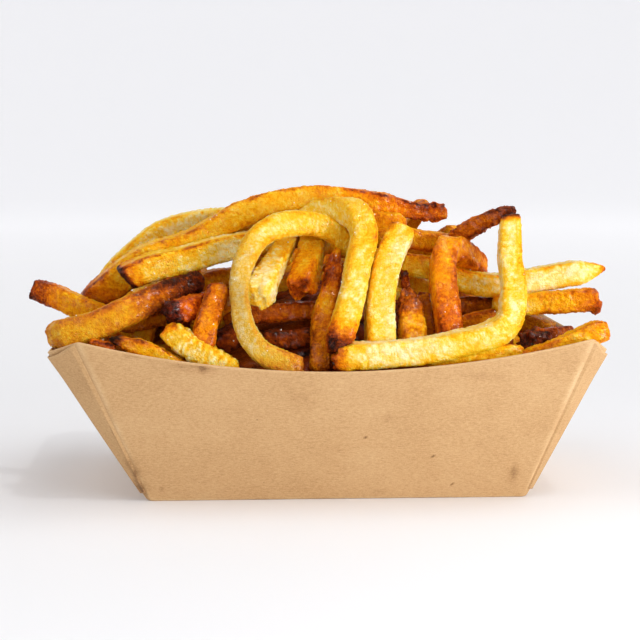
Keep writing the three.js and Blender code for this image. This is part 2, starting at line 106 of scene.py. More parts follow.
# %% Faces of a slab
def slab_faces(rows, columns, offset=0):
    """Faces of a slab whose outer grid comes first and whose inner grid follows: the outer one
    as it runs, the inner one turned round, and a strip of quads along the edge they share."""
    outer = np.arange(rows * columns).reshape(rows, columns)
    inner = outer + rows * columns
    skin = np.stack([outer[:-1, :-1], outer[:-1, 1:], outer[1:, 1:], outer[1:, :-1]], -1)
    back = np.stack([inner[:-1, :-1], inner[1:, :-1], inner[1:, 1:], inner[:-1, 1:]], -1)
    edge = np.concatenate([outer[0, :-1], outer[:-1, -1], outer[-1, :0:-1], outer[:0:-1, 0]])
    ahead = np.roll(edge, -1)
    rim = np.stack([edge, edge + rows * columns, ahead + rows * columns, ahead], -1)
    return np.concatenate([skin.reshape(-1, 4), back.reshape(-1, 4), rim]) + offset


# %% Fill a mesh
def new_object(name, points, quads, triangles, attributes, material):
    """An object whose mesh has these points in millimetres, faces and one number per point for
    each named attribute. Faces are stored as one long list of corners and where each starts."""
    mesh = bpy.data.meshes.new(name)
    corners = np.concatenate([quads.reshape(-1), triangles.reshape(-1)]).astype(np.int32)
    starts = np.concatenate([
        np.arange(len(quads)) * 4, len(quads) * 4 + np.arange(len(triangles)) * 3])
    mesh.vertices.add(len(points))
    mesh.vertices.foreach_set("co", (points * MM).astype(np.float32).reshape(-1))
    mesh.loops.add(len(corners))
    mesh.loops.foreach_set("vertex_index", corners)
    mesh.polygons.add(len(starts))
    mesh.polygons.foreach_set("loop_start", starts.astype(np.int32))
    mesh.update(calc_edges=True)
    mesh.shade_smooth()
    for key, values in attributes.items():
        layer = mesh.attributes.new(key, "FLOAT", "POINT")
        layer.data.foreach_set("value", np.asarray(values, np.float32))
    mesh.materials.append(material)
    piece = bpy.data.objects.new(name, mesh)
    bpy.context.scene.collection.objects.link(piece)
    print(name, "has", len(quads) * 2 + len(triangles), "triangles")
    return piece


# %% [markdown]
# ## Noise
#
# Blisters, mottling and crumpled edges all come from one kind of noise. Space is cut into cubes,
# each corner of a cube gets a steady random number, and the eight numbers are blended smoothly
# inside. Folding the noise at zero, by taking its size without its sign, gives round pillows with
# sharp creases between them, which is just how a fried skin blisters.

# %% Noise functions
def corner_numbers(cells, seed):
    """A steady number from -1 to 1 for each whole-numbered cell: its three indices are multiplied
    by large odd numbers, added, and mixed by shifting and multiplying again."""
    c = cells.astype(np.uint32)
    mix = c[..., 0] * np.uint32(374761393) + c[..., 1] * np.uint32(668265263)
    mix += c[..., 2] * np.uint32(2246822519) + np.uint32(int(seed) * 1013904223 % 4294967296)
    mix = (mix ^ (mix >> np.uint32(13))) * np.uint32(1274126177)
    mix = (mix ^ (mix >> np.uint32(16))) * np.uint32(2654435769)
    mix ^= mix >> np.uint32(15)
    return mix.astype(np.float64) / 2147483647.5 - 1.0


def noise(points, size, seed):
    """Smooth noise from -1 to 1 with features of this size: the numbers of a cell's eight corners
    blended along each axis by the curve 6t^5 - 15t^4 + 10t^3."""
    scaled = np.asarray(points) / size
    base = np.floor(scaled)
    t = scaled - base
    blend = t * t * t * (t * (t * 6 - 15) + 10)
    cells = base.astype(np.int64)
    total = 0.0
    for corner in np.ndindex(2, 2, 2):
        step = np.array(corner)
        weight = np.prod(np.where(step == 1, blend, 1 - blend), axis=-1)
        total = total + weight * corner_numbers(cells + step, seed)
    return total


def pillows(points, size, seed):
    """Rounded bumps with creases between them: the size of the noise without its sign, times 2.6,
    less one."""
    return np.abs(noise(points, size, seed)) * 2.6 - 1.0


def ease(low, high, values):
    """From 0 at low to 1 at high along the smooth curve 3t^2 - 2t^3, and flat beyond."""
    t = np.clip((np.asarray(values, float) - low) / (high - low), 0, 1)
    return t * t * (3 - 2 * t)


print("noise at one place:", round(float(noise(np.array([1.0, 2.0, 3.0]), 0.7, 5)), 4))

# %% [markdown]
# ## One fry
#
# A fry's middle line is a smooth curve through a few hand-placed points. Round it runs a square
# with soft corners: a superellipse, which is what a circle becomes when the squares in its formula
# are made a higher power. The ends are caps in which the section shrinks to a point, slowly for a
# rounded end and quickly for one that was cut flat.

# %% The middle line
def cubic(before, here, there, after, t):
    """Catmull-Rom curve from here to there as t goes from 0 to 1: the cubic that leaves each of
    the two along half the vector between its neighbours."""
    leave, arrive = (there - before) * 0.5, (after - here) * 0.5
    return ((2 * here - 2 * there + leave + arrive) * t ** 3
            + (3 * there - 3 * here - 2 * leave - arrive) * t ** 2 + leave * t + here)


def curve_at(waypoints, shares):
    """The curve through the waypoints at these shares of the way. Beyond the ends the last step is
    repeated."""
    p = np.asarray(waypoints, float)
    p = np.concatenate([[2 * p[0] - p[1]], p, [2 * p[-1] - p[-2]]])
    place = np.clip(np.asarray(shares, float), 0, 1) * (len(waypoints) - 1)
    index = np.minimum(place.astype(int), len(waypoints) - 2)
    return cubic(*(p[index + k] for k in range(4)), (place - index)[:, None])


def even_line(waypoints, distances=None):
    """The curve's length or, where distances along it are given, its points there."""
    shares = np.linspace(0, 1, 60 * (len(waypoints) - 1) + 1)
    dense = curve_at(waypoints, shares)
    run = np.concatenate([[0], np.cumsum(np.linalg.norm(np.diff(dense, axis=0), axis=1))])
    if distances is None:
        return run[-1]
    return curve_at(waypoints, np.interp(distances, run, shares))


def directions(waypoints, distances, length):
    """Tangent, across and normal along the curve. Across is square to the tangent and to the axis
    along which the waypoints spread least, so the section doesn't spin."""
    step = 0.05
    ahead = even_line(waypoints, np.minimum(distances + step, length))
    back = even_line(waypoints, np.maximum(distances - step, 0))
    tangent = ahead - back
    tangent /= np.linalg.norm(tangent, axis=1, keepdims=True)
    reference = np.zeros(3)
    reference[np.argmin(np.ptp(np.asarray(waypoints, float), axis=0))] = 1
    across = np.cross(reference, tangent)
    across /= np.linalg.norm(across, axis=1, keepdims=True)
    return tangent, across, np.cross(tangent, across)


# %% The section
def section_angles(columns, crowding=0.09):
    """Angles round the section, closer together at the four corners than on the faces."""
    even = np.arange(columns) * 2 * math.pi / columns
    return even + crowding * np.sin(4 * even)


def soft_square(angles, power):
    """Superellipse: how far out it reaches at each angle, so that the two coordinates raised to
    the power add up to one. A power of 2 is a circle and a high one a square."""
    c, s = np.abs(np.cos(angles)), np.abs(np.sin(angles))
    return (c ** power + s ** power) ** (-1 / power)


# %% [markdown]
# The ends come in a few kinds. Each has the power of its cap, how long the cap is against half
# the fry's width, how far back it narrows and by how much, and how ragged its edge is. A cut can
# also lean: a fry's look may say how much further it reaches on one side than on the other.

# %% Kinds of end
ENDS = {
    # kind: (cap power, cap length, narrowed length mm, narrowed to, raggedness mm, lean)
    "cut": (5.5, 0.30, 2.0, 0.95, 0.35, 0.20),
    "slant": (5.0, 0.35, 3.0, 0.92, 0.40, 0.55),
    "round": (2.5, 0.85, 4.0, 0.88, 0.35, 0.10),
    "taper": (2.2, 1.30, 11.0, 0.42, 0.35, 0.20),
    "ragged": (3.2, 0.60, 5.0, 0.86, 1.60, 0.20),
    "torn": (3.2, 0.50, 3.0, 0.98, 1.50, 0.15),
}
CAP_ROWS = 11
LONGEST_CAP = 0.3               # of the fry's length


def end_rows(length, half, start, end, step):
    """Distances along the fry of its rows, and how large the section is at each. In a cap of
    power n the size is cos^(2/n) and the advance sin^(2/n) of an angle from 0 to 90 degrees."""
    turn = np.linspace(0, math.pi / 2, CAP_ROWS + 1)[1:]
    distances, scales = [], []
    caps = [min(ENDS[kind][1] * half, length * LONGEST_CAP) for kind in (start, end)]
    for kind, cap in zip((start, end), caps):
        power = ENDS[kind][0]
        distances.append(cap * (1 - np.sin(turn) ** (2 / power)))
        scales.append(np.cos(turn) ** (2 / power))
        scales[-1][-1] = 0.0
    body = np.linspace(caps[0], length - caps[1], max(4, int((length - sum(caps)) / step)) + 1)
    rows = np.concatenate([distances[0][::-1], body, length - distances[1]])
    sizes = np.concatenate([scales[0][::-1], np.ones(len(body)), scales[1]])
    for kind, away in ((start, rows), (end, length - rows)):
        narrowed, to = ENDS[kind][2:4]
        sizes = sizes * (to + (1 - to) * ease(0, narrowed, away))
    return rows, sizes


# %% [markdown]
# Once the plain stick is there, its skin is moved along its own normals, by pillows of three
# sizes where steam raised it: 3.4, 1.7 and 0.9 mm. They are higher where the fry is well toasted.
# Four numbers are kept at every point for the materials: how toasted the skin is, how reddish, how
# far it stands out of its surroundings, and how soaked and shaded it is. That last one greys the
# colour, partly for flesh that oil has soaked and turned clearer, partly as painted shade on faces
# turned from the light.

# %% Normals of a grid
def grid_normals(grid, centre=None):
    """Normals of a closed grid: the cross product of the step round it and the step along it. They
    are turned away from the middle line where one is given."""
    around = np.roll(grid, -1, axis=1) - np.roll(grid, 1, axis=1)
    normals = np.cross(around, np.gradient(grid, axis=0))
    normals /= np.maximum(np.linalg.norm(normals, axis=-1, keepdims=True), 1e-9)
    inward = centre is not None and np.sum(normals * (grid - centre[:, None]), axis=-1).mean() < 0
    return -normals if inward else normals


# %% The fry itself
def along_stops(stops, shares):
    """Straight lines between (share, value) stops."""
    places, values = zip(*stops)
    return np.interp(shares, places, values)


UNEVEN = {"square": 0.6, "thickness": 0.05, "middle": 0.22}     # how far each wavers along a fry
END_REACH = 5.0                 # mm along the fry in which a lean or a ragged edge dies out


def fry_grid(fry, look, seed, step, columns):
    """Point grid of one fry, its middle line, the rows' distances along it, its length, and the
    angles round it. Each point is the middle line plus across and normal times the section's two
    coordinates. Near the ends it is also moved along the tangent, by the lean and by noise."""
    width, flatness, waypoints = fry
    half, length = width / 2, even_line(waypoints)
    rows, sizes = end_rows(length, half, look["start"], look["end"], step)
    centre = even_line(waypoints, rows)
    tangent, across, normal = directions(waypoints, rows, length)
    own_line = np.full_like(rows, seed * 7.3)       # each fry reads the noise along its own line
    slow = np.stack([rows, own_line, np.full_like(rows, 0.5)], -1)
    twist = np.radians(look["twist"] * noise(slow, 24, 1))
    angles = section_angles(columns)[None, :] + np.zeros((len(rows), 1))
    power = look["square"] + UNEVEN["square"] * noise(slow, 15, 2)[:, None]
    reach = soft_square(angles, power) * (1 - look["hollow"] * np.cos(2 * angles) ** 2)
    thick = half * sizes * along_stops(look["thick"], rows / length)
    wide = thick * (1 + UNEVEN["thickness"] * noise(slow, 11, 3))
    tall = thick * flatness * (1 + UNEVEN["thickness"] * noise(slow, 13, 4))
    a, b = reach * np.cos(angles) * wide[:, None], reach * np.sin(angles) * tall[:, None]
    c, s = np.cos(twist)[:, None], np.sin(twist)[:, None]
    a, b = a * c - b * s, a * s + b * c
    wander = across * noise(slow, 9, 5)[:, None] + normal * noise(slow, 9, 6)[:, None]
    centre = centre + wander * UNEVEN["middle"]
    grid = centre[:, None] + across[:, None] * a[..., None] + normal[:, None] * b[..., None]
    rim = np.stack([a, b, np.full_like(a, seed * 3.1)], -1)
    for end, away, way in (("start", rows, -1), ("end", length - rows, 1)):
        ragged, lean = ENDS[look[end]][4:6]
        lean_a, lean_b = look.get("lean_" + end, (lean if seed % 2 else -lean, 0.0))
        near = 1 - ease(0, END_REACH, away)[:, None]
        shift = way * near * (ragged * noise(rim, 1.9, 7 + way) + lean_a * a + lean_b * b)
        grid = grid + tangent[:, None] * shift[..., None]
    return grid, centre, rows, length, angles


def bitten(grid, notches):
    """Points inside a notch's sphere are pushed out to its surface, away from its middle."""
    for *middle, radius in notches:
        away = grid - np.array(middle)
        far = np.linalg.norm(away, axis=-1, keepdims=True)
        grid = np.where(far < radius, np.array(middle) + away / np.maximum(far, 1e-6) * radius, grid)
    return grid


# %% Skin and colour of the fry
BLISTERS = (
    # size in mm, height in mm on soft skin, how much more on a crust, seed
    (3.4, 0.05, 0.15, 31), (1.7, 0.06, 0.15, 32), (0.9, 0.11, 0.09, 33))
FOLD_PITCH = 3.1                # mm from one fold across a shrunken fry to the next


def dressed_fry(fry, look, seed, step, columns):
    """The fry's grid with its blistered skin, and its toast, red, height and soaked-and-shade
    numbers. Toast starts from the look's stops. To it are added a browner upper ridge, one side's
    share, a seam along each corner, streaks and mottling, and a rim round each end. The corners
    fade out where the end faces begin. The soaked-and-shade number is partly soaked flesh and
    partly painted shade."""
    grid, centre, rows, length, angles = fry_grid(fry, look, seed, step, columns)
    grid = bitten(grid, look["notches"])
    normals = grid_normals(grid, centre)
    shares, row = (rows / length)[:, None], np.arange(len(rows))
    corner = np.sin(2 * angles) ** 4 * ease(2, 7, np.minimum(row, row[::-1]))[:, None]
    toast = along_stops(look["toast"], shares) + np.zeros_like(corner)
    broken = 0.6 + 0.6 * noise(grid, 3, 21) + 0.6 * noise(grid, 1.0, 28)
    toast = toast + look["ridge"] * corner * ease(0.1, 0.7, normals[..., 2]) * np.maximum(broken, 0)
    side_a, side_b = look["sides"]
    toast = toast + side_a * np.cos(angles) + side_b * np.sin(angles)
    seam = 0.15 * corner * (0.6 + 0.7 * noise(grid, 4.5, 22) + 0.5 * noise(grid, 0.9, 29))
    along = 0.4 * rows[:, None] + 31 * seed + 0 * angles
    drawn_out = np.stack([along, 4 * np.cos(angles), 4 * np.sin(angles)], -1)
    toast = toast + seam + 0.075 * noise(drawn_out, 2.6, 23) + 0.03 * noise(grid, 2.4, 24) \
        + 0.03 * noise(grid, 1.1, 27)
    near_end = np.minimum(rows, length - rows)[:, None]
    end_face = 1 - ease(0, 1.5, near_end + 0.8 * noise(grid, 1.5, 25))
    toast = toast + look["toasted_ends"] * end_face
    crust = ease(0.5, 0.85, toast) + along_stops(look["rough"], shares)
    skin = [pillows(grid, size, own) for size, _, _, own in BLISTERS]
    height = sum((soft + more * crust) * bumps for (_, soft, more, _), bumps in zip(BLISTERS, skin))
    if look["folds"]:
        line = rows[:, None] + 1.6 * noise(grid, 3.2, 34)
        height = height + look["folds"] * (np.abs(np.sin(line * math.pi / FOLD_PITCH)) - 0.6)
    grid = grid + normals * (height * (0.35 + 0.65 * np.minimum(1, near_end / 0.8)))[..., None]
    toast = np.clip(toast + 0.05 * crust * skin[1] - 0.03 * skin[2], 0, look["darkest"])
    red = along_stops(look["red"], shares) + 0.10 * noise(grid, 5.5, 26)
    # Painted shade in part: the soaked-and-shade stops grey faces turned from the light, and the noise greys
    # patches of soaked flesh.
    soaked = along_stops(look["soaked"], shares) + 0.08 * noise(drawn_out, 3.5, 36)
    return grid, {"toast": toast, "red": np.clip(red, 0, 1), "height": height,
                  "soaked": np.clip(soaked, 0, 1)}


def join_fries(name, grids, material):
    """One object from several closed grids, with their numbers as attributes."""
    parts, offset = [], 0
    for grid, _ in grids:
        flat, shape = closed_points(grid)
        parts.append((flat, *closed_faces(*shape, offset)))
        offset += len(flat)
    points, quads, fans = (np.concatenate(part) for part in zip(*parts))
    numbers = {
        key: np.concatenate([closed_points(values[key])[0] for _, values in grids])
        for key in grids[0][1]}
    return new_object(name, points, quads, fans, numbers, material)


print("ends:", ", ".join(ENDS))

# %% [markdown]
# ## Shared shader helpers
#
# A colour is easiest to choose as it looks on a screen, from 0 to 255, while a shader wants the
# amount of light, so one function converts. Node groups are used for what several materials
# share. Each is built once, and every material gives it its own numbers.

# %% Colours and groups
def light_of(*screen):
    """The shader's amount of light for a screen colour: each channel over 255, then raised to
    2.4 after adding 0.055 and dividing by 1.055, as the screen's own curve does."""
    return tuple((((v / 255) + 0.055) / 1.055) ** 2.4 for v in screen) + (1.0,)


def new_group(name, inputs, outputs):
    """An empty node group with float inputs and (name, kind) outputs, and its two end nodes."""
    group = bpy.data.node_groups.new(name, "ShaderNodeTree")
    for key in inputs:
        group.interface.new_socket(key, in_out="INPUT", socket_type="NodeSocketFloat")
    for key, kind in outputs:
        group.interface.new_socket(key, in_out="OUTPUT", socket_type=kind)
    return group, group.nodes.new("NodeGroupInput"), group.nodes.new("NodeGroupOutput")


def math_node(tree, operation, first, second=None, third=None, clamp=False):
    """One Math node. Each value is a number or a socket to link."""
    node = tree.nodes.new("ShaderNodeMath")
    node.operation, node.use_clamp = operation, clamp
    for socket, value in zip(node.inputs, (first, second, third)):
        if isinstance(value, (int, float)):
            socket.default_value = value
        elif value is not None:
            tree.links.new(value, socket)
    return node.outputs[0]


def times_plus(tree, value, factor, plus, clamp=False):
    """A value times a factor plus another value."""
    return math_node(tree, "MULTIPLY_ADD", value, factor, plus, clamp)


def set_inputs(node, values):
    """Gives a node's named inputs these values."""
    for key, value in values.items():
        node.inputs[key].default_value = value


def noise_node(tree, place, scale, detail=2.0, roughness=0.5):
    """A Noise texture of this many features per metre, read at a place."""
    node = tree.nodes.new("ShaderNodeTexNoise")
    set_inputs(node, {"Scale": scale, "Detail": detail, "Roughness": roughness})
    tree.links.new(place, node.inputs["Vector"])
    return node.outputs["Fac"]


def less_half(tree, value):
    """Noise runs from 0 to 1, and less a half it runs about as far down as up."""
    return math_node(tree, "SUBTRACT", value, 0.5)


def ramp_node(tree, value, stops):
    """A Color Ramp through (position, screen colour) stops."""
    node = tree.nodes.new("ShaderNodeValToRGB")
    elements = node.color_ramp.elements
    elements[0].position, elements[1].position = stops[0][0], stops[-1][0]
    for position, _ in stops[1:-1]:
        elements.new(position)
    for element, (_, colour) in zip(elements, stops):
        element.color = light_of(*colour)
    tree.links.new(value, node.inputs["Fac"])
    return node.outputs["Color"]


def mix_node(tree, factor, first, second):
    """A Mix node for colours, from the first to the second, which are colours or sockets."""
    node = tree.nodes.new("ShaderNodeMix")
    node.data_type = "RGBA"
    for index, value in ((0, factor), (6, first), (7, second)):
        if isinstance(value, bpy.types.NodeSocket):
            tree.links.new(value, node.inputs[index])
        else:
            node.inputs[index].default_value = value
    return node.outputs[2]


def object_place(tree):
    """The Object coordinates, which keep a pattern fixed to the piece."""
    return tree.nodes.new("ShaderNodeTexCoord").outputs["Object"]


# %% Materials
def new_material(name):
    """A material, its node tree and its Principled shader."""
    material = bpy.data.materials.new(name)
    material.use_nodes = True
    return material, material.node_tree, material.node_tree.nodes["Principled BSDF"]


def placed_group(tree, shader, group, from_mesh, relief, depth, strength):
    """Places a group in a material. It reads these numbers from the mesh, its colour and roughness
    go to the shader, and its relief goes there by way of a Bump node, its depth in millimetres."""
    node, bump = tree.nodes.new("ShaderNodeGroup"), tree.nodes.new("ShaderNodeBump")
    node.node_tree = group
    for key in from_mesh:
        number = tree.nodes.new("ShaderNodeAttribute")
        number.attribute_name = key.lower()
        tree.links.new(number.outputs["Fac"], node.inputs[key])
    set_inputs(bump, {"Strength": strength, "Distance": depth * MM})
    tree.links.new(node.outputs[relief], bump.inputs["Height"])
    tree.links.new(bump.outputs["Normal"], shader.inputs["Normal"])
    tree.links.new(node.outputs["Color"], shader.inputs["Base Color"])
    tree.links.new(node.outputs["Roughness"], shader.inputs["Roughness"])
    return node


print("screen grey 128 is", round(light_of(128)[0], 3), "of full light")

# %% [markdown]
# ## Fried potato
#
# Frying takes a potato from cream through yellow and gold to orange, brown and at last black. How
# far a spot has gone is its toast number, from 0 to 1. Sugary potatoes go there by way of red, so
# a second number says how reddish it is, and chooses between two colour ramps. Fine noise adds
# freckles to the toast number before the ramps read it, so the freckles are always the right
# next colour. Raised tops are painted paler, as painted highlight, and low creases a little more
# toasted, as painted shade. Pale patches from noise are partly blisters, partly painted highlight.

# %% The crust group
GOLD_STOPS = [
    (0.00, (254, 234, 176)), (0.12, (253, 218, 126)), (0.24, (251, 199, 50)), (0.36, (247, 174, 10)),
    (0.48, (228, 141, 1)), (0.60, (199, 105, 0)), (0.72, (150, 69, 2)), (0.84, (94, 37, 4)),
    (0.93, (46, 19, 8)), (1.00, (18, 8, 5))]
RED_STOPS = [
    (0.00, (254, 230, 154)), (0.12, (252, 212, 96)), (0.24, (250, 190, 38)), (0.36, (247, 162, 8)),
    (0.48, (237, 128, 3)), (0.60, (208, 90, 3)), (0.72, (158, 55, 6)), (0.84, (100, 30, 8)),
    (0.93, (48, 16, 10)), (1.00, (18, 8, 5))]

crust, inside, outside = new_group(
    "fried_crust", ("Toast", "Red", "Height", "Soaked", "Mottle", "Freckles", "Oil"),
    (("Color", "NodeSocketColor"), ("Roughness", "NodeSocketFloat"), ("Grain", "NodeSocketFloat"),
     ("Oil", "NodeSocketFloat")))
place = object_place(crust)
mottle = less_half(crust, noise_node(crust, place, 620, 3.0, 0.6))
freckles = less_half(crust, noise_node(crust, place, 1700, 2.0, 0.6))
grain = noise_node(crust, place, 3000, 1.0)
toast = times_plus(crust, mottle, inside.outputs["Mottle"], inside.outputs["Toast"])
toast = times_plus(crust, freckles, inside.outputs["Freckles"], toast)
specks = times_plus(crust, noise_node(crust, place, 900, 1.0), 5.0, -3.3, clamp=True)
toast = times_plus(crust, specks, 0.20, toast)
# Painted highlight and painted shade: noise gives pale patches, partly blisters and partly painted highlight,
# and the mesh height makes raised tops paler and low creases more toasted.
paler = times_plus(crust, noise_node(crust, place, 330, 1.0), 4.0, -2.35, clamp=True)
paler = math_node(crust, "MULTIPLY", paler, -0.10)
paler = times_plus(crust, inside.outputs["Height"], -0.55, paler)
paler = math_node(crust, "MULTIPLY", paler, math_node(crust, "SUBTRACT", 1.0, inside.outputs["Toast"]))
toast = math_node(crust, "ADD", toast, paler, clamp=True)
colour = mix_node(
    crust, inside.outputs["Red"], ramp_node(crust, toast, GOLD_STOPS), ramp_node(crust, toast, RED_STOPS))
# Painted shade in part: the soaked-and-shade number greys the colour towards dull brown, for soaked flesh and
# for shade painted on faces turned from the light.
colour = mix_node(crust, inside.outputs["Soaked"], colour, light_of(132, 92, 56))
shine = times_plus(crust, mottle, 0.5, 0.42)
shine = times_plus(crust, freckles, 0.35, shine, clamp=True)
relief = times_plus(crust, grain, 0.6, freckles)
oil = times_plus(crust, noise_node(crust, place, 420, 1.0), 4.5, -2.1, clamp=True)
oil = math_node(crust, "MULTIPLY", oil, inside.outputs["Oil"])
for socket, result in zip(outside.inputs, (colour, shine, relief, oil)):
    crust.links.new(result, socket)
print("group", crust.name, "with", len(crust.nodes), "nodes")


# %% One material per kind of fry
def fried_material(name, mottle, freckles, oil, grain_depth, clear):
    """Fried potato with its own amount of mottling, freckles, oil in patches on the skin, grain
    depth in millimetres, and share of light that goes in and scatters under the skin. The other
    numbers come from the mesh."""
    material, tree, shader = new_material(name)
    group = placed_group(
        tree, shader, crust, ("Toast", "Red", "Height", "Soaked"), "Grain", grain_depth, 1.0)
    set_inputs(group, {"Mottle": mottle, "Freckles": freckles, "Oil": oil})
    tree.links.new(group.outputs["Oil"], shader.inputs["Coat Weight"])
    set_inputs(shader, {
        "Subsurface Weight": clear, "Subsurface Scale": 1.6 * MM, "Subsurface Radius": (1.0, 0.45, 0.10),
        "Specular IOR Level": 0.06, "Coat Roughness": 0.14})
    return material


FRIED = {
    "pale": fried_material("pale_fried_potato", 0.11, 0.26, 0.35, 0.65, 0.40),
    "golden": fried_material("golden_fried_potato", 0.14, 0.28, 0.50, 0.65, 0.30),
    "orange": fried_material("orange_fried_potato", 0.15, 0.22, 0.70, 0.50, 0.22),
    "browned": fried_material("browned_fried_potato", 0.20, 0.24, 0.80, 0.60, 0.08),
}
print("materials:", ", ".join(m.name for m in FRIED.values()))

# %% [markdown]
# ## The fries that show
#
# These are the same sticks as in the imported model, with the same widths and middle lines. Each
# line gives the width, the height as a share of the width, and the points that the middle line
# passes through. The last three are hidden, and carry the long ones that cross the top.

